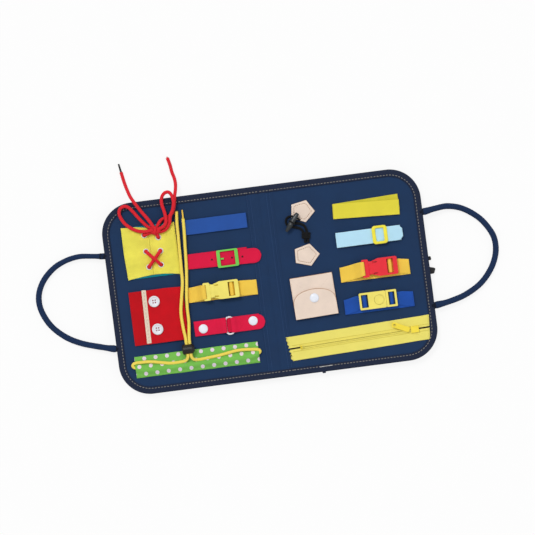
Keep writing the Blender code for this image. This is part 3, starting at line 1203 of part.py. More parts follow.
def build_zipper():
    """Two tapes with their chains, the slider and its pull."""
    x, y = place(1, "zipper")
    low, high = FIRST_LAYER, FIRST_LAYER + TAPE_THICKNESS
    half = TAPE_LENGTH / 2
    slit = ZIP_SLIT_SHARE * TAPE_LENGTH
    near, far = TAPE_SPLIT / 2, TAPE_WIDTH / 2
    tapes = prism([
        (TAPE_SLANT - half, -far), (half - TAPE_SLANT, -far), (half, -near), (half - slit, -near),
        (half - slit, near), (half, near), (half + TAPE_SLANT, far), (-half - TAPE_SLANT, far),
        (-half, near), (slit - half, near), (slit - half, -near), (-half, -near),
    ], low, high)
    chain_low = high + FIT_GAP
    chain_top = chain_low + CHAIN_HEIGHT
    row = CHAIN_WIDTH / 2
    groove = FIT_GAP
    section = [(-row, high - FIT_GAP), (row, high - FIT_GAP), (row, chain_top), (groove, chain_top),
               (0.0, chain_top - 2 * groove), (-groove, chain_top), (-row, chain_top)]
    ends = (slit - half + CHAIN_WIDTH / 2, half - slit - CHAIN_WIDTH / 2)
    chain = loft([[(u, v, w) for v, w in section] for u in ends])
    tapes = combined(tapes, [chain], "UNION")
    piece("zipper_tapes", moved(tapes, x, y, 0.0, ZIP_TURN), "zip_yellow")
    slide = half - slit - SLIDER_BODY_LENGTH / 2
    roof = chain_top + FIT_GAP
    top = roof + SLIDER_PLATE
    side = (SLIDER_BODY_WIDTH - CHAIN_WIDTH) / 2 - FIT_GAP
    half_b = SLIDER_BODY_WIDTH / 2
    inner = half_b - side
    section = [(-half_b, chain_low), (-half_b, top), (half_b, top), (half_b, chain_low),
               (inner, chain_low), (inner, roof), (-inner, roof), (-inner, chain_low)]
    body = loft([[(u, v, w) for v, w in section] for u in (-SLIDER_BODY_LENGTH / 2, SLIDER_BODY_LENGTH / 2)])
    body = moved(body, slide)
    angle = math.radians(ZIP_TURN)
    spot = (x + slide * math.cos(angle), y + slide * math.sin(angle), roof)
    piece("zipper_slider", moved(body, x, y, 0.0, ZIP_TURN), "zip_yellow", PLASTIC_ROUGHNESS, spot)
    eye = slide - SLIDER_BODY_LENGTH / 2 - FIT_GAP
    hole = circle(PULL_HOLE, (2 * PULL_HOLE - PULL_LENGTH, 0.0), 8)
    middle, corner = (-PULL_LENGTH / 2, 0.0), PULL_WIDTH * PULL_CORNER_SHARE
    outline = rounded(PULL_LENGTH - FIT_GAP, PULL_WIDTH, corner, middle)
    tab = prism(outline, roof, roof + PULL_THICKNESS, [hole])
    corner = PULL_WIDTH * math.sin(math.radians(abs(PULL_TURN))) / 2
    tab = moved(tab, eye - corner, 0.0, 0.0, PULL_TURN)
    pivot = eye - PULL_SETBACK
    hinge = (x + pivot * math.cos(angle), y + pivot * math.sin(angle), top)
    piece("zipper_pull", moved(tab, x, y, 0.0, ZIP_TURN), "zip_yellow", PLASTIC_ROUGHNESS, hinge)


def main():
    for thing in list(bpy.data.objects):
        bpy.data.objects.remove(thing, do_unlink=True)
    build_leaf(-1, "left")
    build_handle(-1, "left_handle")
    build_lacing()
    build_drawstring()
    build_belt()
    page_buckle(-1, "yellow_buckle", "left_buckle", BUCKLE_OFFSETS[0], "orange", "buckle_yellow",
                BUCKLE_LIFTS[0])
    build_snap_belt()
    build_button_panel()
    build_blue_strip()
    build_closure()
    on_left = [thing for thing in bpy.data.objects if thing.name != "closure_male"]
    hinge = bpy.data.objects.new("left_leaf_hinge", None)
    bpy.context.scene.collection.objects.link(hinge)
    hinge.location = (-SPINE_WIDTH / 2, 0.0, PAGE_TOP)
    for thing in on_left:
        thing.location -= hinge.location
        thing.parent = hinge
    build_leaf(1, "right")
    build_spine()
    build_handle(1, "right_handle")
    build_toggle()
    build_yellow_strip()
    build_slide_strap()
    page_buckle(1, "red_buckle", "right_buckle", BUCKLE_OFFSETS[1], "orange", "buckle_red", BUCKLE_LIFTS[1])
    build_centre_buckle()
    build_pouch()
    build_zipper()


main()
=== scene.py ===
import math

import bmesh
import bpy
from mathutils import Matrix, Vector, noise


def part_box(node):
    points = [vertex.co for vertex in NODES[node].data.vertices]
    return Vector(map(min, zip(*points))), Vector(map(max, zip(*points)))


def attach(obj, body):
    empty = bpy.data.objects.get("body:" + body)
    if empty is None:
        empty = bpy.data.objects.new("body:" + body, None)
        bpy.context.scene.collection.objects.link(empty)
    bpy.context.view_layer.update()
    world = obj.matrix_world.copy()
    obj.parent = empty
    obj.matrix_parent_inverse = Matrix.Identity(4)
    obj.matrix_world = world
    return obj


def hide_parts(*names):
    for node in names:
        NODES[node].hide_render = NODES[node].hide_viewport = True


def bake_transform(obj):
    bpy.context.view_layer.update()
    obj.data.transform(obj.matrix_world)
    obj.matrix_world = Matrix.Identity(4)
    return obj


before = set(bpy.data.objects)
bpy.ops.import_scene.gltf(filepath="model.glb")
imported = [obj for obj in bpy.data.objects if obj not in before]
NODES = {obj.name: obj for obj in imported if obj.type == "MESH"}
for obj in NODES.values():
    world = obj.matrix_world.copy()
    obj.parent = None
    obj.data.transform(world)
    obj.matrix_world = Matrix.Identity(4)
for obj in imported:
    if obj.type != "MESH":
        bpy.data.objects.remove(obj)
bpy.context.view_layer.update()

MM = 0.001
PAGE = 13.4
STRAP_WIDTH = 20.0
STRAP_THICK = 1.2
LOWER_LAYER = 14.3
UPPER_LAYER = 15.8
LAYER_TOP = 16.46
CLOTH_SHEEN = 0.04
STRAP_WAVE = 0.06
VIEW_TURN = 7.35
VIEW_HEIGHT = 2.6
VIEW_WIDTH = 0.7165
SENSOR = 36.0
FLOOR_REACH = 4.0
WORLD_LIGHT = 0.55
FLOOR_GLOW = 0.86
LEAF_SIZE = (215.0, 129.0, 42.0)
FOLD_EDGE = 12.3
BUTTON_X = -156.65
BUTTON_ROWS = (("upper", -6.5), ("lower", -43.8))
STRAP_THREAD = (2.4, 1.6, 0.28)
CLOTH_THREAD = (3.0, 2.0, 0.26)
EDGE_THREAD = (4.2, 2.7, 0.5)
SCENE = bpy.context.scene


# Paints

def srgb(text):
    """A linear colour from a screen colour such as 20355a."""
    parts = [int(text[k:k + 2], 16) / 255 for k in (0, 2, 4)]
    return tuple(c / 12.92 if c <= 0.04045 else ((c + 0.055) / 1.055) ** 2.4 for c in parts)


def tone(colour, factor):
    return tuple(min(1.0, c * factor) for c in colour) + (1.0,)


class Paint:
    """A node material on one Principled shader."""

    def __init__(self, name, slot, rough, sheen=0.0, coat=0.0):
        self.material = bpy.data.materials.new(name)
        self.material.use_nodes = True
        self.tree = self.material.node_tree
        self.shader = self.tree.nodes["Principled BSDF"]
        self.shader.inputs["Roughness"].default_value = rough
        self.shader.inputs["Sheen Weight"].default_value = sheen
        self.shader.inputs["Coat Weight"].default_value = coat
        self.shader.inputs["Specular IOR Level"].default_value = 0.3 if coat else 0.12
        self.slot = slot

    def feed(self, socket, value):
        if isinstance(value, bpy.types.NodeSocket):
            self.tree.links.new(value, socket)
        else:
            socket.default_value = value

    def node(self, kind, settings=None, **values):
        made = self.tree.nodes.new("ShaderNode" + kind)
        for key, value in (settings or {}).items():
            setattr(made, key, value)
        for key, value in values.items():
            self.feed(made.inputs[key.replace("_", " ")], value)
        return made

    def math(self, operation, a, b=0.0):
        made = self.tree.nodes.new("ShaderNodeMath")
        made.operation = operation
        self.feed(made.inputs[0], a)
        self.feed(made.inputs[1], b)
        return made.outputs[0]

    def add(self, a, b):
        return self.math("ADD", a, b)

    def times(self, a, b):
        return self.math("MULTIPLY", a, b)

    def place(self, kind="UV", stretch=(1.0, 1.0, 1.0)):
        """Where a point lies, in metres."""
        at = self.node("TexCoord").outputs[kind]
        if stretch == (1.0, 1.0, 1.0):
            return at
        return self.node("Mapping", Vector=at, Scale=stretch).outputs[0]

    def noise(self, at, scale, detail=3.0, rough=0.55):
        made = self.node("TexNoise", Vector=at, Scale=scale, Detail=detail, Roughness=rough)
        return made.outputs["Fac"]

    def mix(self, factor, a, b):
        made = self.tree.nodes.new("ShaderNodeMix")
        made.data_type = "RGBA"
        self.feed(made.inputs[0], factor)
        self.feed(made.inputs[6], a)
        self.feed(made.inputs[7], b)
        return made.outputs[2]

    def spread(self, value, low, high, to_low, to_high):
        return self.node("MapRange", Value=value, From_Min=low, From_Max=high,
                To_Min=to_low, To_Max=to_high).outputs[0]

    def colour(self, value):
        self.feed(self.shader.inputs["Base Color"], value)

    def vary(self, shade, colour, blotch):
        self.colour(self.mix(shade, tone(colour, 1 - blotch), tone(colour, 1 + blotch)))

    def rough(self, value):
        self.feed(self.shader.inputs["Roughness"], value)

    def bump(self, height, depth, strength=1.0):
        made = self.node("Bump", Height=height, Distance=depth * MM, Strength=strength)
        self.feed(self.shader.inputs["Normal"], made.outputs[0])


def woven(name, slot, text, pitch=0.9, kind="plain", depth=0.12, blotch=0.16):
    """Cloth or webbing whose threads run along the piece."""
    paint = Paint(name, slot, 0.9, CLOTH_SHEEN)
    colour = srgb(text)
    at = paint.place()
    parts = paint.node("SeparateXYZ", Vector=at)
    along, across = parts.outputs[0], parts.outputs[1]
    turn = math.tau / (pitch * MM)
    if kind == "plain":
        a = paint.math("SINE", paint.times(along, turn))
        b = paint.math("SINE", paint.times(across, turn))
        threads = paint.times(a, b)
    else:
        fold = paint.math("PINGPONG", paint.add(across, 1.0), 2.4 * MM)
        threads = paint.math("SINE", paint.times(paint.add(along, fold), turn))
        if kind == "rib":
            threads = paint.math("SINE", paint.times(across, turn))
    threads = paint.math("MULTIPLY_ADD", threads, 0.5)
    threads.node.inputs[2].default_value = 0.5
    wide = paint.noise(at, 38.0, 4.0)
    fine = paint.noise(at, 900.0, 2.0)
    shade = paint.add(paint.times(wide, 0.55), paint.times(fine, 0.25))
    shade = paint.add(shade, paint.times(threads, 0.2))
    shade = paint.spread(shade, 0.3, 0.72, 0.0, 1.0)
    paint.vary(shade, colour, blotch)
    paint.rough(paint.spread(wide, 0.3, 0.7, 0.82, 0.97))
    height = paint.add(paint.times(threads, 0.75), paint.times(fine, 0.35))
    paint.bump(height, depth)
    return paint


def felted(name, slot, text, depth=0.28, blotch=0.12):
    """Pressed felt: no threads, a short fuzzy nap."""
    paint = Paint(name, slot, 0.95, 0.06)
    colour = srgb(text)
    at = paint.place()
    nap = paint.noise(at, 1500.0, 5.0, 0.65)
    wide = paint.noise(at, 60.0, 4.0)
    shade = paint.spread(paint.add(nap, wide), 0.75, 1.25, 0.0, 1.0)
    paint.vary(shade, colour, blotch)
    paint.rough(paint.spread(wide, 0.3, 0.7, 0.88, 0.99))
    paint.bump(nap, depth)
    return paint


def leathered(name, slot, text):
    """Smooth leatherette with fine cells."""
    paint = Paint(name, slot, 0.55, 0.0, 0.05)
    colour = srgb(text)
    at = paint.place()
    cells = paint.node("TexVoronoi", {"feature": "DISTANCE_TO_EDGE"}, Vector=at,
            Scale=950.0).outputs[0]
    pore = paint.spread(cells, 0.0, 0.12, 0.0, 1.0)
    wide = paint.noise(at, 45.0, 4.0)
    shade = paint.spread(paint.add(wide, paint.times(pore, 0.25)), 0.45, 0.95, 0.0, 1.0)
    face = paint.mix(shade, tone(colour, 0.93), tone(colour, 1.05))
    up = paint.node("SeparateXYZ", Vector=paint.place("Normal")).outputs[2]
    flat_on = paint.spread(paint.math("ABSOLUTE", up), 0.45, 0.85, 0.0, 1.0)
    paint.colour(paint.mix(flat_on, srgb("a9743f") + (1.0,), face))
    paint.rough(paint.spread(wide, 0.3, 0.7, 0.48, 0.66))
    paint.bump(pore, 0.06)
    return paint


def moulded(name, slot, text, rough=0.34, blotch=0.07):
    """Moulded plastic with flow marks and handling scratches."""
    paint = Paint(name, slot, rough, 0.0, 0.15)
    paint.shader.inputs["Coat Roughness"].default_value = 0.25
    colour = srgb(text)
    at = paint.place("Object")
    wide = paint.noise(at, 90.0, 3.0)
    streaks = paint.noise(paint.place("Object", (1.0, 9.0, 9.0)), 420.0, 4.0, 0.7)
    shade = paint.spread(paint.add(wide, paint.times(streaks, 0.4)), 0.45, 0.95, 0.0, 1.0)
    paint.vary(shade, colour, blotch)
    paint.rough(paint.spread(streaks, 0.3, 0.75, rough - 0.06, rough + 0.14))
    height = paint.add(wide, paint.times(streaks, 0.25))
    paint.bump(height, 0.05, 0.6)
    return paint


def braided(name, slot, text, pitch=3.2, depth=0.3, blotch=0.2):
    """Braided cord: two sets of strands that cross, over UV lengths in metres."""
    paint = Paint(name, slot, 0.85, 0.05)
    colour = srgb(text)
    at = paint.place()
    parts = paint.node("SeparateXYZ", Vector=at)
    along = paint.times(parts.outputs[0], math.tau / (pitch * MM))
    around = paint.times(parts.outputs[1], math.tau * 3 / MM)
    one = paint.math("SINE", paint.add(along, around))
    two = paint.math("SINE", paint.math("SUBTRACT", along, around))
    strands = paint.times(one, two)
    strands = paint.spread(strands, -1.0, 1.0, 0.0, 1.0)
    fuzz = paint.noise(paint.place("Object"), 1400.0, 3.0)
    shade = paint.add(paint.times(strands, 0.6), paint.times(fuzz, 0.4))
    paint.colour(paint.mix(shade, tone(colour, 1 - blotch), tone(colour, 1 + blotch * 0.7)))
    paint.rough(paint.spread(fuzz, 0.3, 0.7, 0.75, 0.95))
    paint.bump(paint.add(strands, paint.times(fuzz, 0.4)), depth)
    return paint


def dotted(paint, text, first, pitch, row, radius):
    """Prints staggered rows of plain dots over a cloth, in mm."""
    at = paint.place()
    parts = paint.node("SeparateXYZ", Vector=at)
    v = paint.math("DIVIDE", paint.math("SUBTRACT", parts.outputs[1], first[1] * MM), row * MM)
    line = paint.math("ROUND", v)
    shift = paint.times(paint.math("PINGPONG", line, 1.0), 0.5)
    u = paint.math("DIVIDE", paint.math("SUBTRACT", parts.outputs[0], first[0] * MM), pitch * MM)
    u = paint.add(u, shift)
    du = paint.times(paint.math("SUBTRACT", u, paint.math("ROUND", u)), pitch)
    dv = paint.times(paint.math("SUBTRACT", v, line), row)
    far = paint.add(paint.times(du, du), paint.times(dv, dv))
    inside = paint.spread(far, (radius * 0.93) ** 2, (radius * 1.04) ** 2, 1.0, 0.0)
    base = paint.shader.inputs["Base Color"].links[0].from_socket
    paint.colour(paint.mix(inside, base, tone(srgb(text), 1.0)))


NAVY = woven("navy_canvas", "navy_cloth", "203759", 0.8, "plain", 0.12, 0.13)
BACK = woven("navy_back", "navy_cloth", "1b2d4b", 0.8, "plain", 0.12, 0.13)
BINDING = woven("binding_tape", "binding", "232b40", 1.1, "rib", 0.14, 0.12)
HANDLE = woven("handle_cloth", "navy_cloth", "1c2f50", 1.0, "plain", 0.14, 0.14)
ROOT = woven("handle_root_cloth", "binding", "141a29", 1.0, "plain", 0.14, 0.14)
LEMON = felted("lemon_felt", "lemon_felt", "e6dd58")
TEAL = felted("teal_felt", "teal_felt", "0c7f8e")
YELLOW_FELT = felted("yellow_felt", "yellow_felt", "efdc30")
RED_FELT = felted("red_felt", "red_felt", "dd2a30")
MOTIF_BLUE = felted("motif_blue", "navy_cloth", "22407e")
MOTIF_GREEN = felted("motif_green", "green_cloth", "4fae45")
MOTIF_ORANGE = felted("motif_orange", "orange_webbing", "f09a35")
GREEN = woven("dotted_cotton", "green_cloth", "78be54", 0.6, "plain", 0.08, 0.1)
dotted(GREEN, "e6d6e4", (-179.8, -80.6), 15.3, 10.15, 2.7)
RED_CLOTH = felted("red_flap", "red_cloth", "c4141f", 0.2, 0.08)
RED_DEEP = felted("red_flap_deep", "red_cloth", "ba121c", 0.2, 0.08)
TRIM = woven("cream_trim", "beige_leather", "e3d3bd", 0.8, "rib", 0.12, 0.05)
BLUE_TAPE = woven("blue_tape", "blue_webbing", "2b539f", 1.0, "plain", 0.12, 0.1)
BLUE_WEB = woven("blue_webbing", "blue_webbing", "2350a8", 1.5, "web", 0.2, 0.14)
RED_WEB = woven("red_webbing", "red_webbing", "db1c44", 0.9, "plain", 0.14, 0.09)
ORANGE_WEB = woven("orange_webbing", "orange_webbing", "f3cb50", 1.5, "web", 0.2, 0.08)
YELLOW_TAPE = woven("yellow_tape", "yellow_webbing", "e1d443", 1.0, "plain", 0.12, 0.07)
YELLOW_LOOP = felted("yellow_loop_side", "yellow_webbing", "cfc53a", 0.4, 0.14)
BLUE_LOOP = felted("blue_loop_side", "blue_webbing", "264a94", 0.4, 0.16)
SKY_WEB = woven("light_blue_webbing", "light_blue_webbing", "b9e3f7", 1.5, "web", 0.2, 0.05)
LEATHER = leathered("beige_leather", "beige_leather", "ead6c6")
LEATHER_EDGE = moulded("leather_raw_edge", "beige_leather", "b48a68", 0.7, 0.1)
LACE = braided("red_lace", "lace_red", "e02834", 3.0, 0.35)
STRING = braided("yellow_cord", "cord_yellow", "f6de60", 2.8, 0.3, 0.12)
BLACK_CORD = braided("black_cord", "black_cord", "17181a", 2.0, 0.25)
ZIP_TAPE = woven("zip_tape", "zip_yellow", "ebdf70", 0.7, "plain", 0.1, 0.05)
ZIP_COIL = moulded("zip_coil", "zip_plastic", "ecdf6a", 0.42)
ZIP_PLASTIC = moulded("zip_puller", "zip_plastic", "f4dc40", 0.34)
PALE_YELLOW = moulded("pale_yellow_plastic", "pale_yellow_plastic", "efe06a", 0.34)
BRIGHT_YELLOW = moulded("yellow_plastic", "yellow_plastic", "f0e23e", 0.32)
RED_PLASTIC = moulded("red_plastic", "red_plastic", "e62534", 0.32)
GREEN_PLASTIC = moulded("green_plastic", "green_plastic", "6fc84d", 0.32)
WHITE = moulded("white_plastic", "white_plastic", "e2e3e9", 0.3, 0.03)
CAP = moulded("snap_cap", "white_plastic", "e9edf7", 0.3, 0.03)
BLACK = moulded("black_plastic", "black_plastic", "17171a", 0.38, 0.2)
LOCK = moulded("lock_plastic", "black_plastic", "1c1b19", 0.42, 0.2)
HORN = moulded("horn", "horn_plastic", "2a2f32", 0.42, 0.3)
BOARD = moulded("board", "board", "b0a38b", 0.9)
THREAD = braided("beige_thread", "binding", "8d8983", 0.8, 0.05)
THREAD_PALE = braided("pale_thread", "binding", "c3c2c0", 0.8, 0.05)
THREAD_RED = braided("red_thread", "red_cloth", "8e2c38", 0.8, 0.05)
THREAD_NAVY = braided("navy_thread", "navy_cloth", "2f4b78", 0.8, 0.05)
# Darker yellow for thin lines on the zipper: painted shade of the tape's grooves and of the chain's
# middle joint.
ZIP_GROOVE_SHADE = woven("zip_tape_groove_shade", "zip_yellow", "cdbd49", 0.9, "plain", 0.05, 0.05)
# Darker copies of the buckle plastics: painted shade in the hollows beside a buckle's arms.
YELLOW_HOLLOW_SHADE = moulded("yellow_hollow_shade", "pale_yellow_plastic", "cdb22c", 0.5)
RED_HOLLOW_SHADE = moulded("red_hollow_shade", "red_plastic", "a91523", 0.5)
THREAD_BROWN = braided("brown_thread", "beige_leather", "a5805f", 0.8, 0.05)
# Near black paint for painted shade: it fills holes, slits and the zipper's end gaps.
SHADOW = moulded("painted_hole_shadow", "black_plastic", "1a0d10", 0.9)


# Shapes

def mesh(name, verts, faces, paint, body=None, nodes=(), uvs=None, loop_uvs=None):
    """A piece from points in mm. UVs are in mm too and default to the plan view."""
    data = bpy.data.meshes.new(name)
    data.from_pydata([(x * MM, y * MM, z * MM) for x, y, z in verts], [], faces)
    layer = data.uv_layers.new(name="UVMap")
    if loop_uvs is None:
        spots = uvs or [(v[0], v[1]) for v in verts]
        loop_uvs = [spots[loop.vertex_index] for loop in data.loops]
    layer.data.foreach_set("uv", [part * MM for spot in loop_uvs for part in spot])
    bm = bmesh.new()
    bm.from_mesh(data)
    bmesh.ops.recalc_face_normals(bm, faces=bm.faces[:])
    bm.to_mesh(data)
    bm.free()
    data.polygons.foreach_set("use_smooth", [True] * len(data.polygons))
    thing = bpy.data.objects.new(name, data)
    SCENE.collection.objects.link(thing)
    data.materials.append(paint.material)
    if body:
        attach(thing, body)
    if nodes:
        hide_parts(*nodes)
    return thing


def grid(rings, count, first=0):
    """Four sided faces between rings of equal count that follow each other."""
    faces = []
    for r in range(rings - 1):
        low = first + r * count
        for k in range(count):
            n = (k + 1) % count
            faces.append((low + k, low + n, low + count + n, low + count + k))
    return faces


def ends(rings, count, first=0):
    """The faces that close the first and the last ring."""
    return [tuple(range(low, low + count)) for low in (first, first + (rings - 1) * count)]


def wraps(runs, marks):
    """The UVs of a grid's faces, by the runs along it and the marks around it."""
    return [spot for a, b in zip(runs, runs[1:]) for near, far in zip(marks, marks[1:])
            for spot in ((a, near), (a, far), (b, far), (b, near))]


def capped(rings, count):
    """Faces between rings, and a fan from the last ring to the one point after it."""
    top = (rings - 1) * count
    return grid(rings, count) + [(top + k, top + (k + 1) % count,
            top + count) for k in range(count)]


def lofted(name, rings, paint, body=None, nodes=()):
    """A closed piece through rings of equal count, in mm."""
    size = len(rings), len(rings[0])
    verts = [p for ring in rings for p in ring]
    return mesh(name, verts, grid(*size) + ends(*size), paint, body, nodes)


def flat(points, z):
    return [(x, y, z) for x, y in points]


def rect(x0, y0, x1, y1):
    return [(x0, y0), (x1, y0), (x1, y1), (x0, y1)]


def oval(x, y, wide, tall, count):
    turns = [math.tau * k / count for k in range(count)]
    return [(x + wide * math.cos(a), y + tall * math.sin(a)) for a in turns]


def arc(cx, cy, radius, start, end, steps):
    turns = [math.radians(start + (end - start) * k / steps) for k in range(steps + 1)]
    return [(cx + radius * math.cos(a), cy + radius * math.sin(a)) for a in turns]


def rounded(x0, y0, x1, y1, radius, steps=8):
    points = []
    for k, (cx, cy) in enumerate(((x0 + radius, y0 + radius), (x1 - radius, y0 + radius),
            (x1 - radius, y1 - radius), (x0 + radius, y1 - radius))):
        points += arc(cx, cy, radius, 180 + 90 * k, 270 + 90 * k, steps)
    return points


def turned_xy(points, x, y, degrees):
    a = math.radians(degrees)
    c, s = math.cos(a), math.sin(a)
    return [(x + u * c - v * s, y + u * s + v * c) for u, v in points]


def spaced(points, step):
    """More points along the straight runs of a closed outline, corners kept."""
    made = []
    for k, point in enumerate(points):
        a, b = Vector(point), Vector(points[(k + 1) % len(points)])
        count = max(1, round((b - a).length / step))
        made += [tuple(a.lerp(b, j / count)) for j in range(count)]
    return made


def inward(points):
    """How each point of a counterclockwise outline moves for an inset of one."""
    moves = []
    count = len(points)
    for k in range(count):
        p, q, r = Vector(points[k - 1]), Vector(points[k]), Vector(points[(k + 1) % count])
        one, two = (q - p).normalized(), (r - q).normalized()
        n1, n2 = Vector((-one.y, one.x)), Vector((-two.y, two.x))
        moves.append((n1 + n2) / max(0.4, 1 + n1.dot(n2)))
    return moves


def ringed(outline, step):
    """A function that gives the outline drawn in by an inset, always with the same points."""
    moves = inward(outline)
    total = len(outline)
    sides = [Vector(b) - Vector(a) for a, b in zip(outline, outline[1:] + outline[:1])]
    counts = [max(1, round(side.length / step)) for side in sides]

    def ring(inset):
        corners = [Vector(p) + m * inset for p, m in zip(outline, moves)]
        made = []
        for k, count in enumerate(counts):
            a, b = corners[k], corners[(k + 1) % total]
            made += [tuple(a.lerp(b, j / count)) for j in range(count)]
        return made

    return ring


def waver(a, b, c):
    return noise.noise(Vector((a, b, c)))


def ripple(x, y, size, seed=0.0):
    return waver(x / size, y / size, seed)


def panel(name, outline, low, high, paint, body, nodes=(), step=3.0, edge=0.5, seam=None, dip=0.3,
        wave=0.1, crown=0.0, seed=0.0, size=22.0, hang=None):
    """A flat piece with soft edges and, if asked, a stitched-down margin."""
    ring = ringed(outline, step)
    thick = high - low
    rings = [(edge, low), (edge * 0.25, low + 0.18 * thick), (0.0, low + 0.5 * thick),
            (edge * 0.25, high - 0.18 * thick), (edge, high - 0.03)]
    if seam:
        rings += [(seam - 1.0, high), (seam - 0.35, high - dip), (seam + 0.35, high - dip),
                (seam + 1.1, high)]
    else:
        rings.append((edge * 2 + 0.8, high))
    verts = []
    for inset, z in rings:
        verts += flat(ring(inset), z)
    count = len(ring(0.0))
    last = verts[-count:]
    cx = sum(v[0] for v in last) / count
    cy = sum(v[1] for v in last) / count
    shares = (0.94, 0.86, 0.76, 0.65, 0.53, 0.41, 0.29, 0.17, 0.07)
    for share in shares:
        rise = crown * (1 - share ** 2)
        ease = min(1.0, (1 - share) * 6)
        for x, y, z in last:
            u, v = cx + (x - cx) * share, cy + (y - cy) * share
            verts.append((u, v, high + rise + wave * ease * ripple(u, v, size, seed)))
    verts.append((cx, cy, high + crown + wave * ripple(cx, cy, size, seed)))
    faces = capped(len(rings) + len(shares), count)
    faces.append(tuple(range(count))[::-1])
    if hang:
        verts = [(x, y, z + hang(x, y)) for x, y, z in verts]
    return mesh(name, verts, faces, paint, body, nodes)


def smooth(route, spacing):
    """A smooth line through points, at about even spacing."""
    pts = [Vector(p) for p in route]
    fine = []
    for k in range(len(pts) - 1):
        p0, p1 = pts[max(k - 1, 0)], pts[k]
        p2, p3 = pts[k + 1], pts[min(k + 2, len(pts) - 1)]
        for j in range(16):
            t = j / 16
            fine.append(0.5 * ((2 * p1) + (p2 - p0) * t + (2 * p0 - 5 * p1 + 4 * p2 - p3) * t ** 2
                    + (3 * p1 - p0 - 3 * p2 + p3) * t ** 3))
    fine.append(pts[-1])
    return evenly(fine, spacing)


def evenly(fine, spacing, closed=False):
    """Points at even spacing along a line."""
    fine = [Vector(p) for p in fine]
    if closed:
        fine.append(fine[0])
    marks = [0.0]
    for a, b in zip(fine, fine[1:]):
        marks.append(marks[-1] + (b - a).length)
    count = max(2, round(marks[-1] / spacing))
    made, j = [], 0
    for k in range(count + 1):
        goal = marks[-1] * k / count
        while j < len(marks) - 2 and marks[j + 1] < goal:
            j += 1
        span = marks[j + 1] - marks[j]
        made.append(fine[j].lerp(fine[j + 1], (goal - marks[j]) / span if span else 0.0))
    return made[:-1] if closed else made


def strap(name, at, turn, side, paint, body=None, nodes=(), tip=None, step=2.0, bow=None,
        seed=0.0, width=STRAP_WIDTH, thick=STRAP_THICK):
    """Webbing along a side view of (along, height) points, laid at a place with a turn."""
    line = (smooth if len(side) > 2 else evenly)(flat(side, 0.0), step)
    shares = (-1.0, -0.97, -0.88, -0.6, -0.2, 0.2, 0.6, 0.88, 0.97, 1.0)
    a = math.radians(turn)
    c, s = math.cos(a), math.sin(a)
    verts, uvs = [], []
    run = 0.0
    last = len(line) - 1
    total = sum((q - p).length for p, q in zip(line, line[1:]))
    for k, p in enumerate(line):
        along = (line[min(k + 1, last)] - line[max(k - 1, 0)]).normalized()
        up = Vector((-along.y, along.x, 0.0))
        if k:
            run += (p - line[k - 1]).length
        half = width / 2
        if tip:
            half = min(half, tip(total - run))
        shrink = 0.72 if k in (0, last) else 1.0
        ring = []
        for sign in (1, -1):
            for t in (shares if sign > 0 else shares[::-1]):
                h = thick / 2 * (1 - 0.5 * abs(t) ** 10) * shrink * sign
                v = t * half + (bow(p.x) if bow else 0.0)
                lift = STRAP_WAVE * ripple(run, v, 9.0, seed)
                u, w = p.x + up.x * (h + lift), p.y + up.y * (h + lift)
                ring.append((at[0] + u * c - v * s, at[1] + u * s + v * c, w))
                uvs.append((run, t * half))
        verts += ring
    count = 2 * len(shares)
    faces = grid(last + 1, count) + ends(last + 1, count)
    return mesh(name, verts, faces, paint, body, nodes, uvs)


def laid(start, end):
    """The side view of webbing sewn flat to the page."""
    return (start, LOWER_LAYER), (end, LOWER_LAYER)


def cross_rows(xs, y, half=8.6, z=LAYER_TOP):
    """Rows of thread over a strap, one at each x."""
    return [[(x, y - half, z), (x, y + half, z)] for x in xs]


def round_tip(radius):
    """The half width at a distance from a half round end."""
    return lambda far: math.sqrt(max(0.05, radius ** 2 - max(0.0, radius - far) ** 2))


def cut_tip(width, corner):
    """The half width at a distance from an end whose corners are cut."""
    return lambda far: width / 2 - max(0.0, corner - far)


def tube(name, route, radius, paint, body=None, nodes=(), sides=14, spacing=1.3, shape=None,
        lumps=0.0):
    """A cord along a route, and its centre line in mm."""
    line = smooth(route, spacing)
    last = len(line) - 1
    frames, previous, normal = [], None, None
    for k, p in enumerate(line):
        along = (line[min(k + 1, last)] - line[max(k - 1, 0)]).normalized()
        if previous is None:
            normal = along.cross(Vector((0.0, 0.0, 1.0)))
            if normal.length < 0.05:
                normal = Vector((0.0, 1.0, 0.0))
            normal.normalize()
        else:
            normal = previous.rotation_difference(along) @ normal
        previous = along
        frames.append((p, normal.copy(), along.cross(normal)))
    run, verts, runs = 0.0, [], []
    for k, (p, n, b) in enumerate(frames):
        if k:
            run += (p - line[k - 1]).length
        runs.append(run)
        r = radius * (shape(run) if shape else 1.0)
        for j in range(sides):
            a = math.tau * j / sides
            size = r * (1 + lumps * math.sin(run * 2.1 + 3 * a))
            verts.append(p + n * (size * math.cos(a)) + b * (size * math.sin(a)))
    marks = [j / sides for j in range(sides + 1)]
    loops = wraps(runs, marks) + [(mark, share) for mark in (0.0, run) for share in marks[:-1]]
    faces = grid(last + 1, sides) + ends(last + 1, sides)
    thing = mesh(name, [tuple(v) for v in verts], faces, paint, body, nodes, loop_uvs=loops)
    return thing, line


def spun(name, profile, x, y, paint, body=None, nodes=(), sides=40):
    """A round piece from (radius, height) points in mm about a vertical line."""
    rings = [flat(oval(x, y, radius, radius, sides), z) for radius, z in profile]
    return lofted(name, rings, paint, body, nodes)


BEAD = ((-0.5, 0.35), (-0.32, 0.95), (0.0, 1.0), (0.32, 0.95), (0.5, 0.35))
BEAD_SIDES = 6


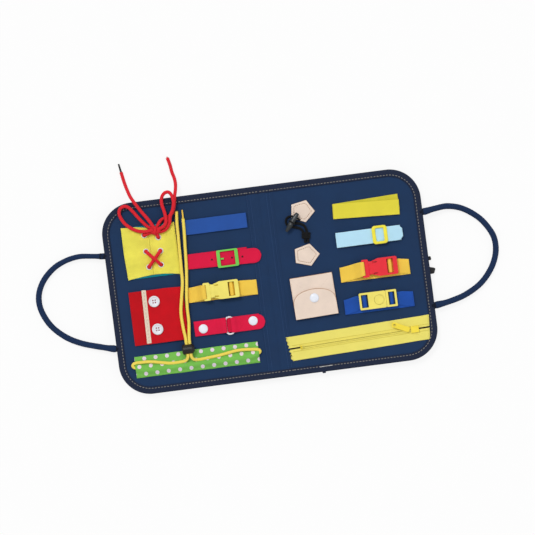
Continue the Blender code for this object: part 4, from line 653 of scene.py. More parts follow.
def stitches(name, lines, paint, body, pitch=3.6, dash=2.2, radius=0.36, closed=False):
    """Rows of thread dashes as small beads."""
    verts, faces = [], []
    for line in lines:
        whole = evenly(line, pitch, closed)
        pairs = list(zip(whole, whole[1:] + ([whole[0]] if closed else [])))
        for a, b in pairs:
            along = (b - a).normalized()
            across = Vector((-along.y, along.x, 0.0))
            if across.length < 0.1:
                across = Vector((1.0, 0.0, 0.0))
            across.normalize()
            up = along.cross(across)
            middle = (a + b) / 2
            first = len(verts)
            for far, size in BEAD:
                spot = middle + along * (dash * far) - up * (radius * 0.5 * (1 - size))
                for j in range(BEAD_SIDES):
                    t = math.tau * j / BEAD_SIDES
                    verts.append(tuple(spot + across * (radius * size * math.cos(t))
                            + up * (0.7 * radius * size * math.sin(t))))
            faces += grid(len(BEAD), BEAD_SIDES, first) + ends(len(BEAD), BEAD_SIDES, first)
    return mesh(name, verts, faces, paint, body)


def inset_line(outline, inset, z, step=3.0):
    return flat(ringed(outline, step)(inset), z)


def dress(node, paint, bevel=0.35):
    """New material and softened edges for a moulded CAD node."""
    thing = NODES[node]
    thing.data.materials.clear()
    thing.data.materials.append(paint.material)
    if bevel:
        soft = thing.modifiers.new("soft_edges", "BEVEL")
        soft.width = bevel * MM
        soft.segments = 2
        soft.limit_method = "ANGLE"
        soft.angle_limit = math.radians(35)
        soft.harden_normals = False


# Camera, floor and light

def stage():
    camera = bpy.data.cameras.new("camera")
    view = bpy.data.objects.new("camera", camera)
    SCENE.collection.objects.link(view)
    SCENE.camera = view
    camera.lens = SENSOR * VIEW_HEIGHT / VIEW_WIDTH
    camera.sensor_width = SENSOR
    camera.clip_end = 20.0
    view.location = (-0.0006, 0.0192, PAGE * MM + VIEW_HEIGHT)
    view.rotation_euler = (0.0, 0.0, math.radians(-VIEW_TURN))

    floor = Paint("floor", None, 0.95)
    grain = floor.noise(floor.place("Object"), 30.0)
    floor.colour(floor.mix(grain, (0.86, 0.86, 0.86, 1.0), (0.9, 0.9, 0.9, 1.0)))
    glow = floor.node("Emission", Color=(1.0, 1.0, 1.0, 1.0), Strength=1.0)
    path = floor.node("LightPath")
    seen = floor.math("MAXIMUM", path.outputs["Is Camera Ray"], path.outputs["Is Glossy Ray"])
    seen = floor.math("MAXIMUM", seen, path.outputs["Is Transmission Ray"])
    mixed = floor.node("MixShader")
    floor.feed(mixed.inputs[0], floor.math("MULTIPLY", seen, FLOOR_GLOW))
    floor.feed(mixed.inputs[1], floor.shader.outputs[0])
    floor.feed(mixed.inputs[2], glow.outputs[0])
    end = [n for n in floor.tree.nodes if n.type == "OUTPUT_MATERIAL"][0]
    floor.feed(end.inputs["Surface"], mixed.outputs[0])
    data = bpy.data.meshes.new("floor")
    corners = rect(-FLOOR_REACH, -FLOOR_REACH, FLOOR_REACH, FLOOR_REACH)
    data.from_pydata(flat(corners, -0.0004), [], [(0, 1, 2, 3)])
    data.materials.append(floor.material)
    ground = bpy.data.objects.new("floor", data)
    SCENE.collection.objects.link(ground)

    world = bpy.data.worlds.new("world")
    SCENE.world = world
    world.use_nodes = True
    tree = world.node_tree
    tree.nodes.clear()
    out = tree.nodes.new("ShaderNodeOutputWorld")
    light = tree.nodes.new("ShaderNodeBackground")
    light.inputs[0].default_value = (1.0, 1.0, 1.0, 1.0)
    light.inputs[1].default_value = WORLD_LIGHT
    white = tree.nodes.new("ShaderNodeBackground")
    white.inputs[0].default_value = (1.0, 1.0, 1.0, 1.0)
    white.inputs[1].default_value = 1.0
    rays = tree.nodes.new("ShaderNodeLightPath")
    pick = tree.nodes.new("ShaderNodeMath")
    pick.operation = "MAXIMUM"
    tree.links.new(rays.outputs["Is Camera Ray"], pick.inputs[0])
    tree.links.new(rays.outputs["Is Transmission Ray"], pick.inputs[1])
    mix = tree.nodes.new("ShaderNodeMixShader")
    tree.links.new(pick.outputs[0], mix.inputs[0])
    tree.links.new(light.outputs[0], mix.inputs[1])
    tree.links.new(white.outputs[0], mix.inputs[2])
    tree.links.new(mix.outputs[0], out.inputs[0])

    lamps = (("key", 1.35, 18.0, (-0.45, 0.75, 1.5)), ("fill", 0.35, 40.0, (0.8, -0.3, 1.2)))
    for name, power, angle, aim in lamps:
        lamp = bpy.data.lights.new(name, "SUN")
        lamp.energy = power
        lamp.angle = math.radians(angle)
        body = bpy.data.objects.new(name, lamp)
        SCENE.collection.objects.link(body)
        body.rotation_euler = Vector(aim).to_track_quat("Z", "Y").to_euler()


stage()
SCENE.view_settings.view_transform = "Standard"


# Free cords, as points in mm

LACE_CROSS = (
    ((-159.1, 61.2, 15.4), (-159.1, 61.2, 17.8), (-158.0, 60.1, 20.2), (-155.0, 56.8, 22.4),
     (-150.2, 51.6, 24.2), (-145.2, 46.0, 22.4), (-142.2, 42.4, 20.2), (-141.2, 41.2, 17.8),
     (-141.2, 41.2, 15.4)),
    ((-139.7, 59.7, 15.4), (-139.7, 59.7, 17.8), (-140.8, 58.5, 19.7), (-143.6, 55.4, 20.0),
     (-148.6, 49.9, 20.0), (-153.7, 44.2, 20.0), (-156.5, 41.2, 19.7), (-157.6, 40.0, 17.8),
     (-157.6, 40.0, 15.4)),
)
LACE_TOP = (
    ((-158.8, 83.0, 15.4), (-158.8, 83.0, 17.8), (-157.6, 83.3, 19.7), (-154.4, 84.1, 20.0),
     (-150.6, 85.1, 19.6), (-145.0, 86.8, 19.8)),
    ((-140.3, 78.0, 15.4), (-140.3, 78.0, 17.8), (-140.6, 79.4, 19.8), (-142.0, 82.8, 20.4),
     (-142.6, 86.0, 20.4)),
)
LACE_BOW = {
    "left_loop": (
        (-145.2, 88.0, 22.6), (-149.6, 88.0, 23.4), (-158.0, 87.6, 22.4), (-167.0, 90.0, 20.4),
        (-176.6, 95.8, 18.9), (-184.0, 104.0, 17.6), (-188.0, 114.0, 17.2), (-186.6, 121.2, 17.8),
        (-181.0, 124.6, 17.9), (-175.0, 122.6, 17.8), (-168.8, 115.0, 17.2), (-163.2, 106.8, 17.4),
        (-157.4, 99.4, 18.7), (-151.9, 93.4, 18.9), (-147.9, 91.0, 19.5), (-144.6, 89.2, 20.2)),
    "right_loop": (
        (-140.6, 88.4, 22.2), (-136.7, 89.1, 23.1), (-131.2, 91.4, 23.2), (-127.4, 96.6, 22.2),
        (-126.8, 103.4, 21.4), (-128.2, 112.4, 19.4), (-130.0, 121.6, 19.2), (-128.8, 130.4, 18.6),
        (-124.4, 135.6, 17.6), (-119.0, 136.0, 18.2), (-115.4, 131.2, 20.4), (-113.8, 122.4, 22.4),
        (-116.2, 112.2, 21.8), (-120.8, 103.4, 21.6), (-122.8, 95.0, 20.2), (-127.4, 88.4, 19.2),
        (-132.6, 85.6, 19.0), (-137.4, 85.4, 19.1), (-140.8, 86.8, 20.0)),
    "left_tail": (
        (-143.6, 89.6, 22.0), (-144.9, 92.4, 22.9), (-147.6, 98.0, 23.0), (-152.8, 106.4, 20.0),
        (-159.4, 116.2, 18.0), (-165.2, 126.0, 17.9), (-168.3, 131.6, 17.0), (-171.3, 137.6, 12.8),
        (-174.2, 146.0, 6.0), (-176.4, 154.0, 2.9), (-178.0, 162.0, 2.6), (-179.6, 171.4, 2.6)),
    "right_tail": (
        (-141.6, 90.0, 20.0), (-140.0, 92.4, 19.4), (-136.6, 97.2, 18.8), (-133.0, 100.6, 16.9),
        (-127.6, 102.6, 16.2), (-122.0, 104.4, 16.1), (-117.6, 108.6, 16.1), (-114.6, 115.2, 16.3),
        (-113.0, 121.6, 17.4), (-111.6, 129.6, 17.9), (-109.6, 138.2, 14.2), (-108.8, 146.4, 7.8),
        (-109.6, 154.4, 3.4), (-111.8, 163.0, 2.6), (-113.0, 172.4, 2.6), (-115.4, 182.6, 2.6)),
}
DRAWSTRING = (
    (-111.8, 109.2, 15.9), (-112.6, 101.0, 16.4), (-113.2, 92.0, 18.7), (-113.6, 76.0, 18.9),
    (-114.2, 60.0, 18.7), (-114.6, 44.0, 18.7), (-115.2, 28.0, 18.8), (-116.0, 13.0, 19.9),
    (-119.6, -6.0, 19.9), (-123.0, -26.0, 19.9), (-122.6, -46.0, 20.1), (-121.3, -58.0, 21.4),
    (-121.1, -65.0, 21.8), (-121.1, -75.0, 21.8), (-121.1, -85.0, 21.8), (-124.6, -90.0, 19.4),
    (-132.0, -91.2, 17.4), (-145.6, -91.0, 17.3), (-158.0, -88.6, 17.3), (-172.0, -85.8, 17.3),
    (-186.8, -85.0, 17.3), (-192.2, -85.2, 17.2), (-195.5, -86.7, 16.9), (-196.0, -89.1, 16.4),
    (-194.0, -91.2, 16.1), (-189.4, -92.8, 16.0), (-182.0, -95.2, 15.9), (-172.0, -96.6, 15.9),
    (-158.0, -96.8, 15.9), (-140.0, -96.8, 15.9), (-110.0, -96.8, 15.9), (-80.0, -96.8, 15.9),
    (-52.0, -96.8, 15.9), (-40.0, -96.2, 15.9), (-33.0, -94.9, 15.9), (-28.6, -93.5, 16.0),
    (-26.0, -92.3, 16.2), (-24.7, -90.6, 16.7), (-25.6, -88.7, 17.0), (-28.8, -87.6, 17.3),
    (-34.6, -86.7, 17.3), (-54.4, -85.6, 17.3), (-77.9, -88.8, 17.3), (-98.5, -90.6, 17.3),
    (-107.4, -91.0, 17.8), (-113.8, -89.8, 20.2), (-116.5, -85.0, 21.8), (-116.5, -75.0, 21.8),
    (-116.5, -65.0, 21.8), (-116.1, -58.0, 21.3), (-114.2, -40.0, 19.6), (-113.9, -22.0, 19.3),
    (-112.6, -4.0, 19.3), (-110.5, 12.0, 19.0), (-108.4, 30.0, 18.9), (-107.2, 46.0, 18.9),
    (-106.2, 62.0, 18.9), (-105.0, 80.0, 18.9), (-104.4, 92.0, 18.8), (-104.2, 98.2, 17.9),
)
TOGGLE_LOOP = (
    (54.2, 45.4, 15.2), (53.6, 53.6, 15.2), (52.4, 61.2, 15.2), (49.4, 65.4, 15.2),
    (43.6, 67.6, 15.2), (38.8, 69.4, 15.2), (36.6, 72.0, 15.2), (38.6, 74.2, 15.2),
    (44.6, 73.2, 15.2), (51.4, 71.4, 15.2), (56.0, 67.2, 15.2), (57.6, 60.6, 15.2),
    (57.9, 53.6, 15.2), (58.0, 45.4, 15.2),
)
TOGGLE_TETHER = (
    (51.0, 76.6, 16.3), (47.4, 79.2, 16.3), (43.4, 81.8, 16.2), (38.4, 83.4, 15.2),
    (33.6, 81.6, 14.9), (31.4, 77.2, 14.9), (32.2, 73.0, 14.9), (33.6, 70.6, 15.0),
)
LACE_SIZE = 4.6
STRING_SIZE = 4.2


def cords():
    body = "left_leaf"
    half = LACE_SIZE / 2
    for k, route in enumerate(LACE_CROSS):
        strand, line = tube(f"lace_cross_{k}", route, half, LACE, body,
                ["lace_crossing"] if k == 0 else (), lumps=0.03)
    knot_rings = ((-6.3, 2.1), (-5.3, 3.5), (-3.4, 4.5), (-1.2, 4.3), (0.0, 4.9), (1.4, 4.3),
            (3.6, 4.5), (5.4, 3.4), (6.3, 2.0))
    verts, sides = [], 24
    for along, around in knot_rings:
        for j in range(sides):
            a = math.tau * j / sides
            r = around * (1 + 0.07 * math.sin(3 * a + along * 0.9))
            verts.append((-142.7 + 1.06 * along + 0.5 * math.sin(a), 86.9 + 1.06 * r * math.cos(a),
                    20.8 + 0.9 * r * math.sin(a)))
    loops = wraps([2.2 * r for r in range(len(knot_rings))],
                  [2 * j / sides for j in range(sides + 1)])
    loops += [(0.0, 0.0)] * (2 * sides)
    faces = grid(len(knot_rings), sides) + ends(len(knot_rings), sides)
    mesh("lace_knot", verts, faces, LACE, body, loop_uvs=loops)
    band_route = ((-142.9, 82.0, 21.6), (-143.5, 84.4, 24.4), (-143.0, 87.0, 25.2),
            (-142.4, 89.6, 24.4), (-142.0, 91.4, 22.2))
    tube("lace_knot_band", band_route, 1.9, LACE, body, spacing=0.6)
    for k, route in enumerate(LACE_TOP):
        tube(f"lace_top_{k}", route, half, LACE, body, spacing=0.8)
    for name, route in LACE_BOW.items():
        strand, line = tube("lace_" + name, route, half, LACE, body,
                ["lace_bow"] if name == "left_loop" else (), lumps=0.03)
        end, before = line[-1], line[-4]
        aim = (end - before).normalized()
        if name == "left_tail":
            tip = [tuple(end - aim * 2.0), tuple(end + aim * 5.0), tuple(end + aim * 11.6)]
            aglet, _ = tube("lace_aglet_dark", tip, 1.5, BLACK, body,
                    shape=lambda r: 1.0 - 0.018 * r)
        elif name == "right_tail":
            tip = [tuple(end - aim * 2.0), tuple(end + aim * 0.2), tuple(end + aim * 1.8)]
            aglet, _ = tube("lace_end_bound", tip, 1.6, LACE, body, spacing=0.5,
                    shape=lambda r: 1.0 - 0.16 * r)

    string, line = tube("drawstring_cord", DRAWSTRING, STRING_SIZE / 2, STRING, body,
            ["drawstring"], lumps=0.03)
    fray_route = [tuple(line[-1] - (line[-1] - line[-4]).normalized() * 1.5), tuple(line[-1]),
            (-104.1, 102.5, 16.9), (-104.1, 107.0, 16.2), (-104.2, 110.3, 15.9)]
    frayed, _ = tube("drawstring_burnt_end", fray_route, 1.15, ORANGE_WEB, body, spacing=0.6,
            shape=lambda r: 1.12 - 0.024 * r)

    loop, line = tube("toggle_loop_cord", TOGGLE_LOOP, 1.7, BLACK_CORD, "right_leaf",
            ["toggle_loop"])
    tether, line = tube("toggle_tether", TOGGLE_TETHER, 1.3, BLACK_CORD, "right_leaf")
    for k in range(4):
        x, y = 55.6 + 0.3 * k, 52.2 + 2.1 * k
        arch = [(x - 4.9, y + 0.9, 13.9), (x - 4.3, y + 0.7, 16.2), (x - 2.4, y + 0.4, 17.7),
                (x + 0.4, y, 18.0),
                (x + 3.0, y - 0.4, 17.5), (x + 4.6, y - 0.7, 15.9), (x + 5.0, y - 0.9, 13.9)]
        tube(f"toggle_loop_wrap_{k}", arch, 1.1, BLACK_CORD, "right_leaf", spacing=1.2, sides=10)
    lean, wrap = math.radians(51.0), []
    for k in range(25):
        a = math.tau * k / 24
        out = 4.3 * math.cos(a)
        wrap.append((39.4 - out * math.sin(lean), 74.7 + out * math.cos(lean),
                20.5 + 4.3 * math.sin(a)))
    tube("toggle_wrap", wrap, 0.95, BLACK_CORD, "toggle", spacing=1.0, sides=10)


cords()


# The two leaves, the spine and the handles

def leaf(side, inset):
    """A leaf's outline, counterclockwise."""
    right, top, radius = (size - inset for size in LEAF_SIZE)
    points = [(FOLD_EDGE, -top)] + arc(right - radius, radius - top, radius, -90, 0, 10)
    points += arc(right - radius, top - radius, radius, 0, 90, 10) + [(FOLD_EDGE, top)]
    return points if side > 0 else [(-x, y) for x, y in points][::-1]


BINDING_SECTION = (
    (10.0, 13.62), (10.0, 14.2), (9.5, 14.5), (8.6, 14.68), (8.0, 14.62), (7.5, 14.46),
    (7.0, 14.62), (5.6, 14.84), (3.2, 14.86), (1.5, 14.66), (0.45, 14.15), (0.05, 13.2),
    (0.0, 10.8), (0.05, 8.4), (0.45, 7.35), (1.5, 6.8), (3.2, 6.56), (5.6, 6.58), (7.0, 6.8),
    (7.5, 6.94), (8.0, 6.8), (8.6, 6.74), (9.5, 6.9), (10.0, 7.2), (10.0, 7.75), (1.4, 7.8),
    (1.4, 13.55),
)


def swept(name, stations, section, paint, body, nodes=(), pucker=0.0):
    """A section of (inset, height) carried along (point, inward direction) stations, in mm."""
    verts = []
    count = len(section)
    runs, girth = [0.0], [0.0]
    for a, b in zip(stations, stations[1:]):
        runs.append(runs[-1] + (Vector(b[0]) - Vector(a[0])).length)
    for a, b in zip(section, section[1:] + (section[0],)):
        girth.append(girth[-1] + math.hypot(b[0] - a[0], b[1] - a[1]))
    for k, (p, n) in enumerate(stations):
        fold = pucker * math.sin(runs[k] * 1.9) * waver(runs[k] / 14, 0.0, 3.0)
        for u, z in section:
            lift = fold * min(1.0, u / 3) if z > 12 or z < 8 else 0.0
            verts.append((p[0] + n[0] * u, p[1] + n[1] * u, z - lift))
    loops = wraps(runs, girth) + [(0.0, mark) for mark in girth[:count]] * 2
    faces = grid(len(stations), count) + ends(len(stations), count)
    return mesh(name, verts, faces, paint, body, nodes, loop_uvs=loops)


def leaf_stations(side, left=13.8):
    """Points around a leaf's free edge, each with its inward direction."""
    right, top, radius = LEAF_SIZE
    made = []
    for k in range(60):
        made.append(((left + (right - radius - left) * k / 60, -top), (0.0, 1.0)))
    for cy, start in ((radius - top, -90), (top - radius, 0)):
        for x, y in arc(right - radius, cy, radius, start, start + 90, 26):
            made.append(((x, y), ((right - radius - x) / radius, (cy - y) / radius)))
        if start < 0:
            for k in range(1, 46):
                made.append(((right, radius - top + (2 * top - 2 * radius) * k / 46), (-1.0, 0.0)))
    for k in range(1, 61):
        made.append(((right - radius - (right - radius - left) * k / 60, top), (0.0, -1.0)))
    return [((side * p[0], p[1]), (side * n[0], n[1])) for p, n in made]


def back_pad(side, name, low, high, body):
    """A stuffed pad of the back: fullest in its middle, seamed all round, flat where it rests."""
    x0, x1 = sorted((side * 28.0, side * 199.0))
    points = spaced(rounded(x0, low, x1, high, 30.0, 8), 4.0)
    moves = inward(points)
    rings = ((0.6, 8.4), (0.0, 7.7), (-0.5, 6.6), (-0.6, 5.2), (-0.1, 3.6), (1.2, 2.2), (3.2, 1.15),
            (6.0, 0.5), (9.5, 0.15), (13.0, 0.02))
    verts, count = [], len(points)
    for inset, z in rings:
        for k, (p, m) in enumerate(zip(points, moves)):
            gather = 0.22 * math.sin(k * 2.1) * max(0.0, 1 - abs(z - 6.5) / 3.0)
            verts.append((p[0] + m.x * (inset + gather), p[1] + m.y * (inset + gather), z))
    last = verts[-count:]
    cx, cy = (x0 + x1) / 2, (low + high) / 2
    shares = (0.93, 0.84, 0.72, 0.58, 0.42, 0.26, 0.1)
    for share in shares:
        for x, y, z in last:
            u, v = cx + (x - cx) * share, cy + (y - cy) * share
            ease = min(1.0, (1 - share) * 3)
            verts.append((u, v, max(0.0, 0.02 + 0.25 * ripple(u, v, 30.0, 8.0) * ease)))
    verts.append((cx, cy, 0.02))
    faces = capped(len(rings) + len(shares), count)
    faces.append(tuple(range(count)))
    pad = mesh(name, verts, faces, BACK, body)
    edge = inset_line(rounded(x0, low, x1, high, 30.0, 8), -2.2, 7.9, 4.0)
    stitches(name + "_seam", [edge], THREAD, body, 3.6, 2.3, 0.3, closed=True)


def build_leaf(side, name):
    body = name + "_leaf"
    panel(name + "_page", leaf(side, 1.4), 12.3, PAGE, NAVY, body, [name + "_lining"], 5.0, 0.3,
          wave=0.16, seed=side, size=30.0)
    panel(name + "_back_cloth", leaf(side, 1.4), 8.0, 9.2, BACK, body, [name + "_back_cover"], 5.0,
          0.3, wave=0.0)
    back_pad(side, name + "_upper_pad", 10.0, 113.0, body)
    back_pad(side, name + "_lower_pad", -113.0, -24.0, body)
    swept(name + "_edge_tape", leaf_stations(side), BINDING_SECTION, BINDING, body,
          [name + "_binding"], 0.22)
    for z, label in ((14.66, "front"), (6.74, "back")):
        row = [(p[0] + n[0] * 7.5, p[1] + n[1] * 7.5, z) for p, n in leaf_stations(side, 16.5)]
        stitches(f"{name}_{label}_edge_stitches", [row], THREAD, body, *EDGE_THREAD)
    dress(name + "_board", BOARD, 0)


for side, name in ((1, "right"), (-1, "left")):
    build_leaf(side, name)
stitches("right_back_tack", [[(51.0, -121.6, 14.9), (69.0, -121.7, 14.9)],
        [(52.0, -122.1, 14.94), (68.0, -121.2, 14.94)]], THREAD_PALE, "right_leaf", 2.6, 2.3, 0.42)
panel("binding_end_fold", rounded(54.6, -131.0, 59.2, -126.0, 1.0, 3), 7.2, 14.0, BINDING,
      "right_leaf", (), 1.0, 0.5, wave=0.0)


def build_spine():
    """Two cloth halves that bend over the folds and meet in the middle of the spine."""
    grooves = {-16.4: 0.35, -11.8: 0.3, -1.2: 0.3, 10.0: 0.3, 14.6: 0.35}
    for side, name in ((-1, "left"), (1, "right")):
        start, end = (-18.0, 0.0) if side < 0 else (0.0, 18.0)
        columns = 37
        xs = [start + (end - start) * k / (columns - 1) for k in range(columns)]
        rows = [(128.2, 13.2), (127.6, 13.75)] + [(126.0 - 252.0 * k / 60,
                13.85) for k in range(61)] + [(-127.6, 13.75), (-128.2, 13.2)]
        rows += [(-128.2, 8.4), (-127.6, 7.9)] + [(-126.0 + 252.0 * k / 30,
                7.75) for k in range(31)] + [(127.6, 7.9), (128.2, 8.4)]
        verts = []
        count = len(rows)
        girth = 0.0
        marks = []
        for k, (y, z) in enumerate(rows):
            if k:
                girth += math.hypot(y - rows[k - 1][0], z - rows[k - 1][1])
            marks.append(girth)
        for x in xs:
            dip = sum(d * math.exp(-((x - g) / 0.55) ** 2) for g, d in grooves.items())
            outer = abs(x) > FOLD_EDGE
            for y, z in rows:
                top = z > 12
                full = 0.28 * (1 - (min(1.0, abs(abs(x) - 6) / 6)) ** 2) if not outer else 0.0
                shift = (full - dip + 0.06 * ripple(x, y, 9.0,
                        2.0)) if top and abs(y) < 127 else 0.0
                thin = 0.25 if outer and top else 0.0
                if outer and not top:
                    z = 9.0
                verts.append((x, y * (0.9985 if outer else 1.0), z - thin + shift))
        loops = wraps(xs, marks + [girth + 2]) + [(0.0, mark) for mark in marks] * 2
        faces = grid(columns, count) + ends(columns, count)
        cloth = mesh(f"spine_cloth_{name}", verts, faces, NAVY, None,
                ["spine_panel"] if side < 0 else (), loop_uvs=loops)
        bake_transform(cloth)
        rows = [[(x, -124.0, 13.78), (x, 124.0, 13.78)] for x in grooves if x * side > 5]
        seams = stitches(f"spine_seams_{name}", rows, THREAD_NAVY, None, 3.2, 2.4, 0.36)
        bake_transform(seams)
        for sign in (-1, 1):
            xs_tape = [start + (end - start) * k / 24 for k in range(25)]
            stations = [((x, sign * 129.02), (0.0, -float(sign))) for x in xs_tape]
            where = "top" if sign > 0 else "bottom"
            section = tuple((u, z + 0.05) for u, z in BINDING_SECTION)
            tape = swept(f"spine_tape_{name}_{where}", stations, section, BINDING, None)
            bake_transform(tape)
            row = [(x, sign * 121.52, 14.72) for x in (start or 0.7, end or -0.7)]
            seam = stitches(f"spine_edge_stitches_{name}_{where}", [row], THREAD, None,
                    *EDGE_THREAD)
            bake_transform(seam)


build_spine()

HANDLE_ROUTES = {
    1: ((211.0, 66.6, 10.8), (219.3, 67.0, 10.7), (232.0, 69.0, 9.6), (250.0, 70.0, 7.0),
            (270.0, 64.0, 4.9), (290.0, 49.0, 4.3), (303.0, 30.0, 4.2), (307.3, 14.0, 4.2),
            (305.0, -4.0, 4.2), (296.0, -22.0, 4.3), (280.0, -39.0, 4.9), (258.0, -51.0, 6.4),
            (236.0, -57.0, 9.4), (219.3, -59.4, 10.7), (211.0, -60.0, 10.8)),
    -1: ((-211.0, 62.0, 10.8), (-219.3, 62.4, 10.7), (-232.0, 64.2, 9.6), (-250.0, 66.0, 7.0),
            (-268.4, 62.8, 4.9), (-286.0, 54.6, 4.3), (-301.6, 39.6, 4.2), (-310.2, 21.0, 4.2),
            (-309.6, 1.0, 4.2), (-299.4, -21.0, 4.2), (-282.0, -38.4, 4.4), (-262.0, -49.6, 5.8),
            (-238.0, -57.4, 9.2), (-219.3, -62.4, 10.7), (-211.0, -63.4, 10.8)),
}


def build_handle(side, name):
    """A stuffed cloth tube, wider and creased where it is sewn into the edge."""
    route = HANDLE_ROUTES[side]
    total = sum((Vector(b) - Vector(a)).length for a, b in zip(route, route[1:]))

    def shape(run):
        near = min(run, total - run)
        flare = 0.2 * math.exp(-((near - 7.0) / 6.0) ** 2)
        slim = -0.55 * max(0.0, 1 - near / 5.0)
        thin = 0.2 * max(0.0, 1 - run / 95.0) if side < 0 else 0.0
        return 1.0 + flare + slim - thin + 0.035 * waver(run / 11, 1.0, side)

    thing, line = tube(name + "_tube", route, 4.0, HANDLE, None, [name], 18, 1.8, shape, lumps=0.02)
    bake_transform(thing)
    for label, end in (("upper", line), ("lower", line[::-1])):
        root = [tuple(p) for p in end[:12] if abs(p[0]) < 222.6]
        collar, _ = tube(f"{name}_{label}_collar", root, 4.5 if side > 0 else 4.1, ROOT, None, (),
                16, 1.5)
        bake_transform(collar)
    seam = [tuple(p + Vector((0.0, 0.0, -3.95))) for p in line[8:-8]]
    stitches(name + "_seam", [seam], THREAD, name, 3.0, 1.9, 0.22)


build_handle(1, "right_handle")
build_handle(-1, "left_handle")


# Pieces of the left page

BLACK_WEB = woven("black_webbing", "black_plastic", "15171c", 1.5, "web", 0.2, 0.2)


def disc(name, x, y, radius, low, high, paint, body, sides=28):
    return spun(name, ((radius, low), (radius, high - 0.04), (radius * 0.94, high)), x, y, paint,
            body, (), sides)


def eyelet(name, x, y, low, body):
    ring = ((3.9, low), (3.92, low + 0.3), (3.6, low + 0.72), (3.2, low + 0.84), (2.8, low + 0.7),
            (2.62, low + 0.34), (2.6, low + 0.14))
    spun(name, ring, x, y, WHITE, body)
    # A dark disc in the eyelet's hole: painted shade.
    disc(name + "_hole", x, y, 2.56, low, low + 0.2, SHADOW, body)


def star(x, y, outer, inner, count, turn):
    points = []
    for k in range(2 * count):
        a = math.radians(turn) + math.pi * k / count
        r = outer if k % 2 == 0 else inner
        points.append((x + r * math.cos(a), y + r * math.sin(a)))
    return points


def motif(name, outline, low, high, paint, body):
    panel(name, outline, low, high, paint, body, step=2.0, edge=0.1, wave=0.0)


def lacing():
    body = "left_leaf"
    panel("lacing_backing_felt", rect(-187.2, 26.0, -117.4, 95.8), 13.7, 14.7, TEAL, body,
          ["lacing_backing"], 3.0, wave=0.05)

    def rise(x, y):
        end = math.exp(-((abs(y - 60.9) - 35) / 6) ** 2)
        return 0.35 * end * math.exp(-((x + 152.8) / 14) ** 2)

    left = [(-187.4, 25.6), (-176.0, 27.2), (-165.0, 28.4), (-152.86, 29.2), (-152.86, 92.0),
            (-160.0, 93.8), (-172.0, 95.6), (-188.8, 96.2), (-189.0, 60.0)]
    right = [(-152.74, 29.2), (-140.0, 28.9), (-128.0, 27.6), (-116.8, 25.4), (-116.8, 96.0),
            (-124.0, 94.9), (-136.0, 92.0), (-152.74, 91.0)]
    panel("lacing_felt_left", left, 15.0, 16.0, LEMON, body, ["lacing_left_panel"], 2.6, 0.25,
          wave=0.12, seed=3.0, hang=rise)
    panel("lacing_felt_right", right, 15.0, 16.0, LEMON, body, ["lacing_right_panel"], 2.6, 0.25,
          wave=0.12, seed=5.0, hang=rise)
    spots = ((-158.8, 83.0), (-140.3, 78.0), (-159.1, 61.2), (-139.7, 59.7), (-157.6, 40.0),
            (-141.2, 41.2))
    for k, (x, y) in enumerate(spots):
        eyelet(f"eyelet_{k}", x, y, 15.98, body)
    rows = [[(x, 28.5, 16.04), (x, 93.5, 16.04)] for x in (-187.6, -118.0)]
    stitches("lacing_side_seams", rows, LEMON, body, 3.0, 2.0, 0.24)


def tunnel():
    """The gathered, dotted tunnel: flat hems and a hump where the cord runs."""
    body = "left_leaf"
    rings = []
    columns = 110
    for k in range(columns + 1):
        x = -193.0 + 166.5 * k / columns
        pull = 0.35 * math.sin(x * 0.55) * waver(x / 23, 2.0, 0.0) + 0.25 * waver(x / 6, 7.0, 0.0)
        top = 18.9 + 0.4 * pull
        lean = 0.5 * ripple(x, 0.0, 30.0, 5.0)
        lift = max(0.0, 1 - (x + 193.0) / 24.0) ** 2 * 4.8
        lift += max(0.0, 1 + (x + 26.5) / 22.0) ** 2 * 4.0
        middle = lift - 96.8
        high = -77.0 + 0.5 * waver(x / 18, 4.0, 1.0)
        low = -105.6 + 0.35 * waver(x / 20, 9.0, 1.0)
        section = [(low, 13.7), (low - 0.1, 14.2), (low + 0.2, 14.7)]
        for j in range(1, 18):
            reach = -8.2 + 18.8 * j / 18
            share = reach / 8.2 if reach < 0 else reach / 10.6
            y = middle + reach + lean * 0.3
            hump = (top - 14.72) * math.cos(math.pi / 2 * share) ** 2
            section.append((y, 14.72 + hump + 0.1 * ripple(x, y, 9.0, 6.0)))
        for j in range(1, 5):
            y = middle + 10.6 + (high - middle - 10.6) * j / 5
            section.append((y, 14.72 + 0.18 * ripple(x, y, 11.0, 6.0)))
        section += [(high - 0.3, 14.7), (high, 14.2), (high, 13.7), (middle + 3.7, 13.7)]
        for j in range(0, 7):
            a = math.pi * j / 6
            section.append((middle + 2.75 * math.cos(a), 13.75 + (top - 14.6) * math.sin(a) ** 0.6))
        section += [(middle - 3.8, 13.7)]
        rings.append([(x, y, z) for y, z in section])
    lofted("tunnel_cloth", rings, GREEN, body, ["drawstring_tunnel"])
    hem = flat([(-191.0, -104.7), (-28.5, -104.7)], 14.84)
    stitches("tunnel_seams", [hem], GREEN, body, 3.2, 2.0, 0.24)


def blue_strip():
    strap("blue_strip_hooks", (-106.6, 85.9), 0.0, laid(0.0, 86.6), BLUE_LOOP, "left_leaf",
          ["blue_strip_base"])
    strap("blue_strip_top", (-107.0, 85.9), 0.0, ((0.0, 16.0), (87.0, 16.0)), BLUE_TAPE,
          "blue_flap", ["blue_strip_flap"], seed=2.0, thick=0.8)
    strap("blue_strip_loops", (-106.6, 85.9), 0.0, ((0.0, 15.42), (86.2, 15.42)), BLUE_LOOP,
          "blue_flap", width=19.2, thick=0.36)
    rows = [[(-105.6, 77.2, 16.44), (-105.6, 94.6, 16.44)]]
    stitches("blue_strip_seam", rows, BLUE_TAPE, "blue_flap", 2.6, 1.7, 0.24)


